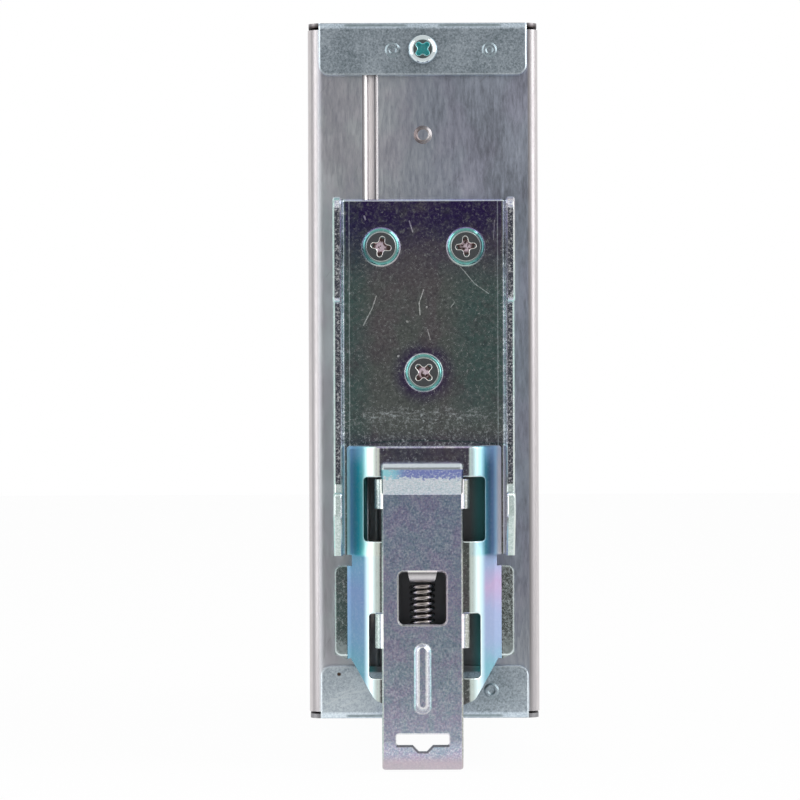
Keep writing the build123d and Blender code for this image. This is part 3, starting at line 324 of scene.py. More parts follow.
def shell_aluminium():
    """Mill-finish sheet with a long grain, faint handling marks and cloudy patches, under painted
    light and shade.
    """
    f = Finish("shell_aluminium", metallic=1.0, roughness=0.36)
    # the lap seam falls away gently, then ends in a thin edge: x of its parts
    lip_x, crease_x, seam_x = (8.05, 8.35), (8.36, 8.72), (8.75, 10.6)
    step_x, below_step_x = (9.95, 10.6), (10.62, 10.95)
    seam = f.times(f.band(f.x, *seam_x, 0.15), f.facing(0.8, 0.9))
    slope = f.add(f.rise(f.x, 8.9, 9.6, -0.30, -0.50), f.rise(f.x, 9.93, 9.97, 0.0, 0.90))
    slope = f.times(seam, slope)
    step = f.times(f.band(f.x, *step_x, 0.05), f.facing(0.2, 0.4))
    lip = f.times(f.band(f.x, *lip_x, 0.06), f.facing(0.8, 0.9))
    corner = f.times(f.rise(f.x, 17.7, 19.1, 0.0, 0.34), f.facing(0.6, 0.8))
    f.lean(f.xyz(f.add(slope, corner), f.times(step, 0.4)), f.xyz(f.times(lip, -0.5)))
    grain = f.noise(2.3, 2.3, 0.42, detail=4.0, rough=0.8)
    coarse = f.noise(0.8, 0.8, 0.14, detail=3.0, rough=0.6, shift=4.0)
    clouds = f.noise(0.09, 0.09, 0.05, detail=4.0, rough=0.6)
    flat = f.rise(f.absolute(f.ny), 0.80, 0.99)
    # painted light: lighter towards the left and the bottom, darker near the top
    left = f.rise(f.x, -16.0, 18.0)
    low = f.rise(f.z, -25.0, -45.0)
    light = f.add(
        f.times(left, 0.42),
        f.times(low, 0.20),
        f.times(grain, 0.55),
        f.times(coarse, 0.16),
        f.times(clouds, 0.45),
        f.rise(f.z, 35.0, 10.0, -0.06, 0.02),
        f.times(f.rise(f.x, 10.0, 17.0), f.rise(f.z, 35.0, 10.0), 0.10),
    )
    # bluish on the flat back, warmer on the side and rounded faces: painted reflection of the
    # surroundings
    cool = f.ramp(
        light, (0.30, (0.33, 0.36, 0.42)), (0.62, (0.67, 0.73, 0.86)), (0.95, (0.92, 0.96, 1.0))
    )
    hue = f.noise(0.16, 0.16, 0.10, detail=3.0, shift=8.0)
    rosy = f.mix(1.0, cool, (1.0, 0.955, 0.98), "MULTIPLY")
    cool = f.mix(f.rise(hue, 0.42, 0.62), cool, rosy)
    warm = f.ramp(grain, (0.3, (0.62, 0.59, 0.60)), (0.7, (0.72, 0.69, 0.69)))
    sides = f.ramp(grain, (0.35, (0.56, 0.56, 0.59)), (0.65, (0.74, 0.73, 0.75)))
    warm = f.mix(f.sideways(0.97, 0.995), warm, sides)
    tone = f.mix(flat, warm, cool)
    # the seam's slope and step are painted pale: painted highlights where the sheet falls away
    tone = f.mix(f.times(seam, 0.9), tone, (0.88, 0.82, 0.80))
    tone = f.mix(step, tone, (1.0, 0.96, 0.95))
    # the band below the step is painted dark: painted shade
    shade_below_step = f.times(f.band(f.x, *below_step_x, 0.06), f.facing(0.5, 0.8))
    tone = f.mix(shade_below_step, tone, (0.30, 0.29, 0.31))
    tone = f.mix(lip, tone, (0.54, 0.52, 0.53))
    brim = f.either(f.rise(f.x, 18.5, 19.2), f.rise(f.x, -18.7, -19.1))
    tone = f.mix(f.times(brim, f.facing(0.6, 0.8)), tone, (0.44, 0.42, 0.43))
    # the crease is painted dark: painted shade
    crease_shade = f.times(f.band(f.x, *crease_x, 0.05), flat, f.facing(0.8, 0.9))
    tone = f.mix(f.times(crease_shade, 0.6), tone, (0.28, 0.23, 0.22))
    marks = f.hairlines(5.0, 0.05, turn=0.5, share=0.2)
    tone = f.mix(f.times(marks, 0.25), tone, (0.35, 0.34, 0.36))
    # the pressed boss, with painted shade on its left and a painted highlight on its right
    boss, _ = f.outline(*BOSS)
    boss = f.times(f.rise(boss, -1.25, -1.15), f.rise(boss, 0.1, -0.05))
    ring = f.mix(f.rise(f.x, 1.2, -1.6), (0.18, 0.15, 0.15), (0.36, 0.34, 0.34))
    tone = f.mix(f.times(boss, f.facing(0.97, 0.9)), tone, ring)
    tone = shaded_recess(f, tone)
    rough = f.add(f.rise(grain, 0.2, 0.8, 0.30, 0.40), f.rise(clouds, 0.4, 0.8, 0.0, 0.06))
    f.bump(grain, 0.00002, 0.35)
    f.bump(coarse, 0.00004, 0.15)
    return f.paint(tone, rough)


def galvanised_sheet():
    """Galvanised sheet with a fine sandy spangle, slightly blue-green."""
    f = Finish("galvanised_sheet", metallic=1.0, roughness=0.42)
    # rounded edges: the sides of both flanges, then the upper and the lower flange
    rims, ways = [], []
    for low, high, amount in ((-64.0, 72.0, 0.25), (57.25, 70.0, 0.22), (-62.0, -49.15, 0.22)):
        share, way = f.rim(f.outline(-18.7, 18.7, low, high, 1.8), -0.28, 0.05, amount)
        rims.append(share)
        ways.append(way)
    f.lean(*ways)
    sand = f.noise(2.6, detail=4.0, rough=0.8)
    fine = f.cells(5.0, output="Color")
    value = f.add(f.times(f.axis(0, fine), 0.10), f.times(sand, 0.95))
    clouds = f.noise(0.13, detail=3.0)
    # painted light: the lower cap lighter, most towards its left
    low = f.times(f.rise(f.z, -40.0, 20.0, 0.10, 0.0), f.rise(f.x, -12.0, 8.0, 0.1, 1.0))
    left = f.times(f.rise(f.x, -6.0, 12.0, 0.0, 0.06), f.rise(f.z, 0.0, -40.0))
    value = f.add(value, f.rise(clouds, 0.3, 0.7, -0.05, 0.05), low, left)
    tone = f.ramp(
        value, (0.34, (0.30, 0.38, 0.43)), (0.56, (0.60, 0.69, 0.77)), (0.80, (0.86, 0.95, 1.0))
    )
    marks = f.strokes(
        (18.0, -56.2, 14.2, -54.1, 0.16), (14.2, -54.1, 10.6, -53.5, 0.20),
        (16.6, -54.4, 12.9, -53.2, 0.14), (17.2, -55.0, 13.6, -54.7, 0.12),
        (15.2, -56.4, 11.4, -55.2, 0.15), (13.4, -55.6, 10.8, -54.2, 0.12),
        (17.9, -57.0, 15.6, -55.6, 0.12),
    )
    marks = f.times(marks, f.rise(f.noise(1.1, shift=3.0), 0.32, 0.5), 0.75)
    tone = f.mix(marks, tone, (0.88, 0.96, 1.0))
    spot, _ = f.outline(*PUNCHED_DOT)
    tone = f.mix(f.rise(spot, 0.1, -0.1), tone, (0.12, 0.08, 0.06))
    # pale band along the flanges' rounded edges: painted highlight
    tone = f.mix(f.times(f.either(*rims), 0.4), tone, (0.86, 0.93, 0.96))
    # slopes of the pressed bosses, painted darker: painted shade, broken by noise
    slope = f.times(f.facing(0.97, 0.85), f.band(f.absolute(f.x), 3.0, 14.0, 0.5))
    slope = f.times(slope, f.rise(f.y, -7.4, -7.2))
    tone = f.mix(slope, tone, f.mix(f.noise(1.0), (0.14, 0.18, 0.20), (0.42, 0.50, 0.54)))
    # corners of the plate beside the flange, in painted shade: on the top cap lighter towards its
    # upper edge
    beside = f.times(f.rise(f.absolute(f.x), 18.65, 18.8), f.rise(f.y, -60.0, -30.0))
    height = f.rise_linear(f.z, 65.8, 66.7)
    corner_shade = f.ramp(height, (0.2, (0.06, 0.05, 0.05)), (0.9, (0.34, 0.32, 0.33)))
    tone = f.mix(f.times(beside, f.rise(f.z, 40.0, 50.0)), tone, corner_shade)
    tone = f.mix(f.times(beside, f.rise(f.z, -40.0, -50.0)), tone, (0.30, 0.30, 0.31))
    f.bump(sand, 0.00003, 0.3)
    return f.paint(shaded_recess(f, tone), f.rise(value, 0.3, 1.0, 0.38, 0.5))


def flank_colours(f, across, drift):
    """Colours of the hat's flanks, from the shoulder outwards: plating tints with painted
    highlights along the bends and outer edges, and painted reflection on the slopes.
    """
    left = f.steps(
        across, 7.0, 14.0,
        (7.0, (0.55, 0.56, 0.57)), (8.0, (0.78, 0.82, 0.72)), (9.0, (0.82, 0.92, 0.86)),
        (10.0, (0.70, 0.94, 0.92)), (11.1, (0.13, 0.50, 0.52)), (11.8, (0.02, 0.34, 0.44)),
        (12.4, (0.06, 0.29, 0.41)), (13.1, (0.18, 0.45, 0.70)), (13.6, (0.55, 0.95, 1.00)),
    )
    right = f.steps(
        across, 7.0, 14.0,
        (7.0, (0.55, 0.56, 0.57)), (8.0, (0.66, 0.80, 0.76)), (9.0, (0.62, 0.86, 0.90)),
        (10.0, (0.50, 0.84, 0.94)), (10.9, (0.05, 0.24, 0.32)), (11.7, (0.08, 0.18, 0.31)),
        (12.3, (0.18, 0.31, 0.54)), (12.8, (0.45, 0.74, 1.00)), (13.4, (1.00, 0.96, 1.00)),
    )
    on_right = f.rise(f.x, 1.0, -1.0)
    beside = f.mix(on_right, left, right)
    start = f.times(f.rise(f.z, -13.5, -9.8, 0.0, 0.45), f.rise(across, 10.3, 11.3))
    beside = f.mix(start, beside, (0.34, 0.56, 0.86))
    # below the walls the flanks are painted duller, and change with height: plating tints and
    # painted reflection
    drop = f.add(f.z, f.rise(drift, 0.3, 0.7, -1.5, 1.5))
    low_left = f.steps(
        drop, -54.0, -28.0,
        (-50.0, (0.12, 0.29, 0.37)), (-44.0, (0.13, 0.25, 0.38)), (-36.0, (0.14, 0.22, 0.38)),
        (-30.0, (0.11, 0.27, 0.38)),
    )
    low_right = f.steps(
        drop, -54.0, -28.0,
        (-49.0, (0.22, 0.46, 0.55)), (-43.5, (0.32, 0.41, 0.60)), (-38.5, (0.34, 0.40, 0.60)),
        (-34.0, (0.46, 0.36, 0.55)), (-29.5, (0.30, 0.39, 0.58)),
    )
    low_flank = f.mix(on_right, low_left, low_right)
    low_side = f.steps(
        across, 7.0, 14.0,
        (7.4, (0.54, 0.56, 0.54)), (8.4, (0.74, 0.86, 0.80)), (9.6, (0.74, 0.90, 0.94)),
        (10.6, (0.5, 0.7, 0.8)),
    )
    low_side = f.mix(f.rise(across, 10.2, 11.0), low_side, low_flank)
    return f.mix(f.rise(f.z, *WALLS_END), beside, low_side)


def bright_zinc_sheet():
    """Bright zinc: mirror-like, with rainbow tints, fine specks and scratches, and painted
    highlights along its rounded edges and on the hat's flanks.
    """
    f = Finish("bright_zinc_sheet", metallic=1.0, roughness=0.12, Specular_IOR_Level=0.1)
    across = f.absolute(f.x)
    side = f.sign(f.x)
    to_back = f.facing(0.6, 0.8)
    plate = f.rise(f.z, *HAT_TOP)
    hat = f.rise(f.z, *HAT_TOP[::-1])
    wall_rim = f.times(to_back, f.rise(f.y, *WALL_RIMS))
    # rounded sheet edges and the soft start of the hat's flanks
    upper = f.outline(*UPPER_WINDOW, mirrored=True)
    upper_rim, upper_lean = f.rim(upper, -0.05, 0.16, -0.35)
    lower = f.outline(*LOWER_WINDOW, mirrored=True)
    lower_rim, lower_lean = f.rim(lower, -0.05, 0.16, -0.35)
    beyond = f.rise(across, 13.75, 13.95)
    foot_rim, foot_lean = f.rim(f.outline(*FEET), -0.26, 0.05, 0.24, beyond)
    top_rim = f.times(f.band(f.z, 34.45, 34.9, 0.05), to_back)
    shoulder = f.times(f.band(across, 7.9, 8.5, 0.25), hat, f.facing(0.9, 0.97))
    outer_wall = f.times(f.rise(across, 15.72, 15.86), wall_rim)
    inner_wall = f.times(f.band(across, WALL_INSIDE, 14.78, 0.05), wall_rim)
    wall_foot = f.times(f.band(f.z, -29.2, -16.2, 0.2), f.rise(across, WALL_INSIDE, 14.6), to_back)
    inner = f.times(f.band(across, 10.0, 14.1, 0.45), hat, f.facing(0.9, 0.7))
    brink = f.add(across, f.rise(f.x, 1.0, -1.0, 0.0, 0.75))
    inner = f.times(inner, f.rise(brink, 13.0, 13.6, 1.0, 2.2))
    inner = f.times(inner, f.rise(f.z, -29.4, -28.8, 0.45, 1.0))
    f.lean(
        upper_lean,
        lower_lean,
        foot_lean,
        f.xyz(z=f.times(top_rim, 0.45)),
        f.xyz(f.times(shoulder, side, 0.14)),
        f.xyz(y=f.times(inner, 0.55)),
        f.xyz(f.times(outer_wall, side, 0.5)),
        f.xyz(f.times(inner_wall, side, -0.37)),
        f.xyz(f.times(wall_foot, side, 0.35)),
    )
    rims = f.either(upper_rim, lower_rim, f.times(foot_rim, 0.4), top_rim, outer_wall)
    # flat faces: violet at the top, olive in the middle, green towards the sides
    drift = f.noise(0.09, detail=3.0, rough=0.6, distortion=0.4, shift=3.0)
    blotch = f.noise(0.35, detail=5.0, rough=0.75, distortion=0.5, shift=6.0)
    cloudy = f.noise(1.6, detail=4.0, rough=0.85, distortion=0.4, shift=12.0)
    violet = f.either(f.rise(f.z, 18.0, 33.0), f.times(f.band(f.z, -16.0, -8.0, 2.0), 0.5))
    green = f.either(
        f.times(f.rise(f.x, -3.0, -9.0), f.band(f.z, -4.0, 22.0, 6.0)), f.rise(f.x, 8.0, 13.0)
    )
    flat = f.mix(f.rise(drift, 0.42, 0.58), (0.74, 0.67, 0.70), (0.70, 0.78, 0.72))
    green = f.times(green, f.rise(blotch, 0.3, 0.6, 0.5, 1.0))
    flat = f.mix(f.times(green, 0.8), flat, (0.36, 0.74, 0.68))
    mottled = f.rise(f.add(blotch, drift), 0.70, 1.10, 0.35, 1.0)
    violet = f.times(violet, mottled, f.rise(across, 14.3, 13.8))
    flat = f.mix(f.times(violet, 0.95), flat, (0.12, 0.03, 0.46))
    # a violet ring round the lower screw, a rubbed band below it
    halo = f.rise(f.length(f.xyz(f.x, 0.0, f.minus(f.z, LOWER_SCREW_Z))), 6.5, 3.6)
    halo = f.times(halo, f.rise(f.add(blotch, drift), 0.6, 1.2, 0.2, 0.8), plate)
    flat = f.mix(halo, flat, (0.20, 0.06, 0.46))
    streaks = f.noise(0.5, 0.5, 2.4, detail=4.0, rough=0.8, distortion=0.6, shift=15.0)
    streaks = f.rise(streaks, 0.44, 0.62)
    rubbed = f.times(f.band(f.z, -4.9, -2.6, 0.8), f.rise(across, 12.0, 9.5), streaks)
    flat = f.mix(f.times(f.rise(cloudy, 0.5, 0.66, 0.0, 0.6), to_back), flat, (0.98, 0.98, 0.95))
    flat = f.mix(f.times(f.rise(cloudy, 0.52, 0.32, 0.0, 0.55), to_back), flat, (0.16, 0.15, 0.22))
    flat = f.mix(f.times(f.rise(blotch, 0.5, 0.30, 0.0, 0.3), to_back), flat, (0.24, 0.22, 0.30))
    flat = f.mix(f.facing(0.6, 0.3, 0.0, 0.75), flat, (0.62, 0.68, 0.72))
    # flanks of the hat
    on_flank = f.either(f.sideways(0.05, 0.30), shoulder)
    on_flank = f.times(on_flank, hat, f.band(across, 6.0, 14.1, 0.1))
    tone = f.mix(on_flank, flat, flank_colours(f, across, drift))
    # side walls: dull inside bend, with painted shade low down beside the plate; speckled sheared
    # rims
    bend = f.times(f.sideways(0.1, 0.4), f.rise(across, 13.9, 14.2))
    speckle = f.noise(2.2, detail=3.0, rough=0.8, shift=2.0)
    wall = f.ramp(speckle, (0.42, (0.32, 0.32, 0.37)), (0.62, (0.58, 0.56, 0.64)))
    # painted shade low on the walls, beside the plate
    wall = f.mix(f.rise(f.y, -5.4, -5.6), wall, (0.12, 0.14, 0.17))
    wall = f.mix(f.rise(f.z, -9.0, -10.0), wall, (0.82, 0.84, 0.92))
    tone = f.mix(f.times(bend, f.rise(across, 15.9, 15.7)), tone, wall)
    sheared = f.times(f.band(across, 14.92, 15.72, 0.1), wall_rim, f.rise(f.z, -16.2, -15.8))
    grit = f.rise(speckle, 0.48, 0.60)
    tone = f.mix(sheared, tone, (0.44, 0.46, 0.62))
    # paler speckle along the lower stretch of the walls' rims
    pale_speckle = f.ramp(speckle, (0.35, (0.42, 0.52, 0.50)), (0.65, (0.60, 0.70, 0.67)))
    tone = f.mix(wall_foot, tone, pale_speckle)
    tone = f.mix(f.times(sheared, grit), tone, (0.95, 0.97, 0.98))
    # feet: cross-hatched, pale at their lower end
    foot = f.times(f.rise(across, 13.85, 14.05), f.rise(f.z, -30.9, -31.1), to_back)
    hatch = f.either(
        f.hairlines(0.45, 0.07, turn=0.5, stretch=4.0, share=1.2),
        f.hairlines(0.5, 0.07, turn=-0.7, stretch=4.0, share=1.2, shift=5.0),
        f.rise(cloudy, 0.50, 0.62, 0.0, 0.7),
    )
    hatch = f.times(hatch, f.rise(f.x, -1.0, 1.0, 0.75, 0.4))
    hatch = f.either(hatch, f.rise(f.add(f.z, f.times(blotch, 5.0)), -38.5, -44.0, 0.0, 0.8))
    tone = f.mix(f.times(foot, hatch), tone, (0.80, 0.92, 0.92))
    # fold mark on the plate, beside the walls
    fold = f.times(f.band(across, 13.25, 13.42, 0.06), plate, to_back)
    # wear: dust, scratches and rubbing, less at the top of the plate and on the flanks
    specks = f.cells(2.4)
    patches = f.noise(0.35, detail=2.0, shift=9.0)
    dust = f.times(f.rise(specks, 0.10, 0.26, 1.0, 0.0), f.rise(patches, 0.35, 0.7))
    fine = f.hairlines(1.4, 0.05, turn=0.9, stretch=3.0, share=0.9)
    more = f.hairlines(1.7, 0.05, turn=-0.7, stretch=3.0, share=0.8, shift=11.0)
    grain = f.noise(2.6, detail=4.0, rough=0.8, shift=1.0)
    wear = f.add(
        f.times(dust, 0.5),
        f.times(f.add(fine, more), 0.30),
        f.rise(grain, 0.48, 0.75, 0.0, 0.7),
        f.rise(cloudy, 0.48, 0.70, 0.0, 0.8),
        f.times(rubbed, 0.7),
    )
    calm = f.times(f.rise(f.z, 21.0, 33.0, 0.0, 0.4), plate)
    wear = f.times(wear, f.minus(1.0, f.either(calm, f.times(on_flank, 0.85))))
    wear = f.times(wear, f.add(f.times(f.rise(f.z, -1.0, -6.0, 0.0, 0.8), plate), 1.0))
    marks = f.strokes(
        (2.5, 30.9, 1.9, 28.9, 0.16), (0.0, 18.5, 0.77, 16.2, 0.12),
        (0.77, 16.2, 0.64, 14.0, 0.14), (8.5, 17.4, 9.2, 15.3, 0.13),
        (9.2, 15.3, 10.8, 12.2, 0.12), (-6.7, 22.6, -9.2, 19.6, 0.09),
        (-9.2, 19.6, -11.7, 17.8, 0.09), (-5.6, 16.3, -4.9, 15.4, 0.11),
        (-12.8, 31.0, -12.6, 27.5, 0.08), (-0.6, 15.4, -0.55, 15.35, 0.26),
        (3.0, 12.9, 2.9, 12.8, 0.26), (10.6, 31.8, 10.4, 31.2, 0.22), (4.6, 6.6, 4.5, 6.7, 0.24),
        (-1.2, 9.6, -0.7, 11.4, 0.09),
    )
    marks = f.times(marks, plate)
    tone = f.mix(f.times(marks, 0.55), tone, (0.80, 0.78, 0.76))
    # the hat's top edge, mirrored in the plate above it
    echo = f.band(f.add(f.z, f.times(f.x, f.x, 0.0035)), -8.7, -8.45, 0.1)
    tone = f.mix(f.times(echo, plate, to_back, 0.8), tone, (0.06, 0.22, 0.24))
    tone = f.mix(f.math("MULTIPLY", wear, 0.6, clamp=True), tone, (0.84, 0.90, 0.92))
    # pale rims: painted highlights along the rounded sheet edges; the fold line is painted in the
    # same pale tone
    tone = f.mix(f.times(f.either(f.times(fold, 0.8), rims), 0.8), tone, (0.84, 0.94, 0.93))
    rough = f.add(
        f.rise(grain, 0.35, 0.75, 0.07, 0.15),
        f.times(wear, 0.18),
        f.times(marks, 0.35),
        f.times(fold, 0.25),
        f.times(foot, hatch, 0.28),
        f.times(sheared, grit, 0.3),
        f.times(on_flank, 0.30),
    )
    satin = f.times(on_flank, f.rise(across, 10.4, 11.4), f.rise(f.z, *WALLS_END[::-1]), 0.6)
    f.bump(grain, 0.00002, 0.2)
    return f.paint(tone, rough, dull=satin)


def matt_zinc_sheet():
    """Duller zinc on the slider, mottled blue, violet and green at a fine scale, with painted
    highlights along its rounded edges and rib.
    """
    f = Finish("matt_zinc_sheet", metallic=1.0, roughness=0.38)
    off_middle = f.minus(f.x, SLIDER_X)
    side, across = f.sign(off_middle), f.absolute(off_middle)
    edge = f.times(f.rise(across, 6.85, 6.98), f.rise(across, 7.4, 7.3), f.facing(0.6, 0.8))
    window, window_lean = f.rim(f.outline(*SPRING_WINDOW), -0.05, 0.30, -0.4)
    slot, slot_lean = f.rim(f.outline(*TOOL_SLOT), -0.05, 0.16, -0.3)
    crest, crest_lean = f.rim(f.outline(*RIB), -1.05, -0.66, 0.32)
    f.lean(f.xyz(f.times(edge, side, 0.45)), window_lean, slot_lean, crest_lean)
    mottle = f.noise(2.6, detail=3.0, rough=0.8, shift=2.0)
    tint = f.ramp(
        mottle,
        (0.34, (0.40, 0.56, 0.68)), (0.46, (0.56, 0.66, 0.86)), (0.54, (0.70, 0.64, 0.84)),
        (0.66, (0.66, 0.86, 0.86)),
    )
    hue = f.noise(0.28, detail=3.0, rough=0.6, distortion=0.5, shift=6.0)
    drift = f.ramp(hue, (0.38, (0.84, 1.0, 0.97)), (0.60, (1.0, 0.90, 1.0)))
    tint = f.mix(1.0, tint, drift, "MULTIPLY")
    along_strip = f.steps(
        f.z, -68.0, -15.0,
        (-67.1, (0.62, 0.72, 0.66)), (-65.6, (0.70, 0.57, 0.60)), (-63.6, (0.68, 0.64, 0.64)),
        (-60.0, (0.80, 0.80, 0.78)), (-50.0, (1.0, 1.0, 0.99)), (-34.0, (0.92, 0.92, 0.97)),
        (-20.0, (0.82, 0.86, 0.95)),
    )
    tint = f.mix(1.0, tint, along_strip, "MULTIPLY")
    lip = f.rise(f.z, -18.3, -17.8)
    tint = f.mix(lip, tint, f.ramp(mottle, (0.4, (0.46, 0.58, 0.60)), (0.6, (0.68, 0.69, 0.70))))
    # the lip's crown painted paler: painted highlight on its rounded top
    crown = f.band(f.z, -13.45, -12.0, 0.1)
    tint = f.mix(crown, tint, (0.82, 0.90, 0.94))
    # long edges and the rims of the spring window and tool slot painted pale: painted highlights
    # along the rounded sheet edges, pinker towards negative x
    pale = f.mix(f.rise(f.x, -2.0, 2.0), (0.96, 0.86, 0.88), (0.94, 0.96, 0.86))
    bent = f.sideways(0.2, 0.5)
    tint = f.mix(f.either(edge, window, f.times(slot, 0.6)), tint, pale)
    # bent tabs painted darker where they turn sideways: painted shade
    tab_shade = f.mix(f.rise(f.x, -2.0, 2.0), (0.34, 0.36, 0.31), (0.36, 0.46, 0.43))
    tint = f.mix(f.times(f.rise(across, 6.85, 7.0), bent), tint, tab_shade)
    # flanks of the pressed rib
    rib = f.times(f.rise(across, 1.7, 1.6), f.band(f.z, -57.8, -44.0, 0.3))
    rib = f.times(rib, f.facing(0.995, 0.97))
    ribbed = f.mix(f.rise(across, 1.15, 1.4), (0.50, 0.50, 0.52), (0.36, 0.62, 0.62))
    tint = f.mix(f.times(rib, 0.85), tint, ribbed)
    # cream band on the rib's slopes: painted highlight
    tint = f.mix(f.times(crest, 0.7), tint, (0.86, 0.84, 0.80))
    grain = f.noise(3.0, detail=3.0, rough=0.8)
    tint = f.mix(f.rise(grain, 0.42, 0.72, 0.0, 0.7), tint, (0.92, 0.94, 0.97))
    tint = f.mix(f.rise(grain, 0.45, 0.25, 0.0, 0.5), tint, (0.30, 0.33, 0.40))
    # the frayed blue line that the rail has rubbed below the lip's crown
    strokes = f.noise(2.6, 2.6, 1.1, detail=4.0, rough=0.8, distortion=1.0, shift=5.0)
    frayed = f.noise(1.9, detail=4.0, rough=0.7, shift=4.0)
    frayed = f.add(f.z, f.rise(frayed, 0.3, 0.7, -0.6, 0.6))
    rub = f.times(f.band(frayed, -15.0, -13.2, 0.25), f.rise(strokes, 0.37, 0.46))
    rub = f.times(rub, f.rise(f.z, -13.4, -13.6), 0.85)
    bluish = f.rise(f.add(f.x, f.times(strokes, 6.0)), 6.0, 9.5)
    tint = f.mix(rub, tint, f.mix(bluish, (0.12, 0.15, 0.44), (0.24, 0.62, 0.68)))
    marks = f.hairlines(3.4, 0.05, turn=0.2, stretch=4.0, share=0.25)
    tint = f.mix(f.times(marks, 0.4), tint, (0.90, 0.91, 0.92))
    tongue = f.times(f.band(f.x, -2.5, 3.3, 0.05), f.band(f.z, -34.4, -31.75, 0.05))
    tint = f.mix(tongue, tint, f.mix(mottle, (0.56, 0.54, 0.55), (0.72, 0.70, 0.71)))
    tail = f.times(f.rise(f.z, -64.0, -66.0), 0.75)
    tint = f.mix(tail, tint, f.mix(hue, (0.50, 0.41, 0.46), (0.66, 0.57, 0.59)))
    # the shaded lower edge of the tool slot
    lower_edge = f.strokes(
        (-4.1, -62.62, -1.4, -62.62, 0.34), (4.9, -62.62, 2.2, -62.62, 0.34),
        (-1.4, -62.66, -0.35, -63.75, 0.34), (2.2, -62.66, 1.2, -63.75, 0.34),
        (-0.35, -63.75, 1.2, -63.75, 0.34),
    )
    tint = f.mix(f.times(lower_edge, 0.8), tint, (0.10, 0.09, 0.10))
    f.bump(grain, 0.00003, 0.4)
    return f.paint(tint, f.rise(grain, 0.3, 0.8, 0.33, 0.45))


def zinc_screw():
    """Bright plated screws: coloured rims and recesses with painted highlights, paler heads on the
    caps ringed by a painted contact shadow.
    """
    f = Finish("zinc_screw", metallic=1.0, roughness=0.16)
    on_bracket = f.band(f.z, -20.0, 45.0, 1.0)
    x, z = UPPER_SCREWS
    reach = f.math(
        "MINIMUM",
        f.length(f.xyz(f.minus(f.absolute(f.x), x), 0.0, f.minus(f.z, z))),
        f.length(f.xyz(f.x, 0.0, f.minus(f.z, LOWER_SCREW_Z))),
    )
    flat = f.facing(0.93, 0.99)
    # rim: cream outlines at its rounded edges are painted highlights, the dark line at its groove
    # is painted shade, the teal between is the plating's tint
    rim = f.steps(
        reach, 2.4, 3.7,
        (2.58, (0.90, 0.92, 0.88)), (2.70, (0.08, 0.22, 0.20)), (3.20, (0.16, 0.46, 0.43)),
        (3.46, (0.90, 0.92, 0.86)),
    )
    tone = f.mix(flat, rim, (0.56, 0.60, 0.63))
    depth = f.minus(BRACKET_HEADS_TOP, f.y)
    recess = f.times(f.rise(depth, 0.0, 0.04), f.rise(reach, 2.35, 2.3))
    # recess walls: pale at the edge as a painted highlight, reddish brown further in
    walls = f.steps(
        depth, 0.0, 1.6,
        (0.10, (0.95, 0.92, 0.88)), (0.22, (0.42, 0.24, 0.20)), (0.85, (0.40, 0.26, 0.24)),
    )
    glints = f.times(f.rise(reach, 1.35, 1.6), f.rise(f.noise(1.3, shift=3.0), 0.45, 0.55))
    walls = f.mix(glints, walls, (0.62, 0.92, 0.94))
    # pinkish white in the middle of the recess, with the metal dulled there: painted highlight
    middle = f.times(f.rise(reach, 1.3, 0.7), f.rise(depth, 0.1, 0.2))
    middle = f.times(middle, f.rise(f.noise(1.6), 0.36, 0.50))
    walls = f.mix(middle, walls, (1.0, 0.84, 0.94))
    tone = f.mix(recess, tone, walls)
    up = f.absolute(f.minus(f.z, CAP_SCREWS_MIDDLE))
    away = f.length(f.xyz(f.x, 0.0, f.minus(up, CAP_SCREWS_REACH)))
    rim_y, wall_y, deep_y = -4.94, -5.02, -5.10  # at and in the recesses of the caps' screws
    cup = f.rise(away, 1.75, 1.65)
    teal = f.times(cup, f.rise(f.y, rim_y, wall_y))
    on_cap = f.mix(teal, (0.72, 0.80, 0.82), (0.10, 0.62, 0.64))
    # dark ring round the cap screws' heads: painted contact shadow
    on_cap = f.mix(f.rise(away, 2.45, 2.65), on_cap, (0.25, 0.27, 0.28))
    tone = f.mix(on_bracket, on_cap, tone)
    cup = f.times(cup, f.rise(f.y, wall_y, deep_y), f.rise(on_bracket, 0.6, 0.4))
    dull = f.add(f.times(middle, recess, on_bracket, 0.85), f.times(cup, 0.5))
    grain = f.noise(4.0, detail=3.0, rough=0.7)
    tone = f.mix(f.rise(grain, 0.5, 0.8, 0.0, 0.35), tone, (0.90, 0.93, 0.94))
    f.bump(grain, 0.00002, 0.2)
    return f.paint(tone, f.rise(grain, 0.3, 0.8, 0.10, 0.22), dull)


def shades(colour, contrast):
    """A darker and a lighter shade of a colour."""
    return [tuple(min(1.0, c * (1 + part)) for c in colour) for part in (-contrast, contrast)]


def plain_metal(name, colour, roughness, grain=2.5, contrast=0.12):
    """Plated or turned metal with a fine, even grain."""
    f = Finish(name, metallic=1.0, roughness=roughness)
    noise = f.noise(grain, detail=3.0, rough=0.6)
    dark, light = shades(colour, contrast)
    tone = f.ramp(noise, (0.35, dark), (0.65, light))
    f.bump(noise, 0.00002, 0.25)
    return f.paint(tone, f.rise(noise, 0.3, 0.7, roughness - 0.05, roughness + 0.06))


def moulded(name, colour, roughness=0.45, grain=3.0, contrast=0.15, **more):
    """Moulded plastic, lacquer or resin with a fine texture and slow shade changes."""
    f = Finish(name, roughness=roughness, **more)
    texture = f.noise(grain, detail=2.0)
    slow = f.noise(0.12, detail=2.0)
    dark, light = shades(colour, contrast)
    tone = f.ramp(f.times(f.add(texture, slow), 0.5), (0.4, dark), (0.6, light))
    f.bump(texture, 0.00003, 0.3)
    return f.paint(tone, f.rise(texture, 0.3, 0.7, roughness - 0.06, roughness + 0.08))


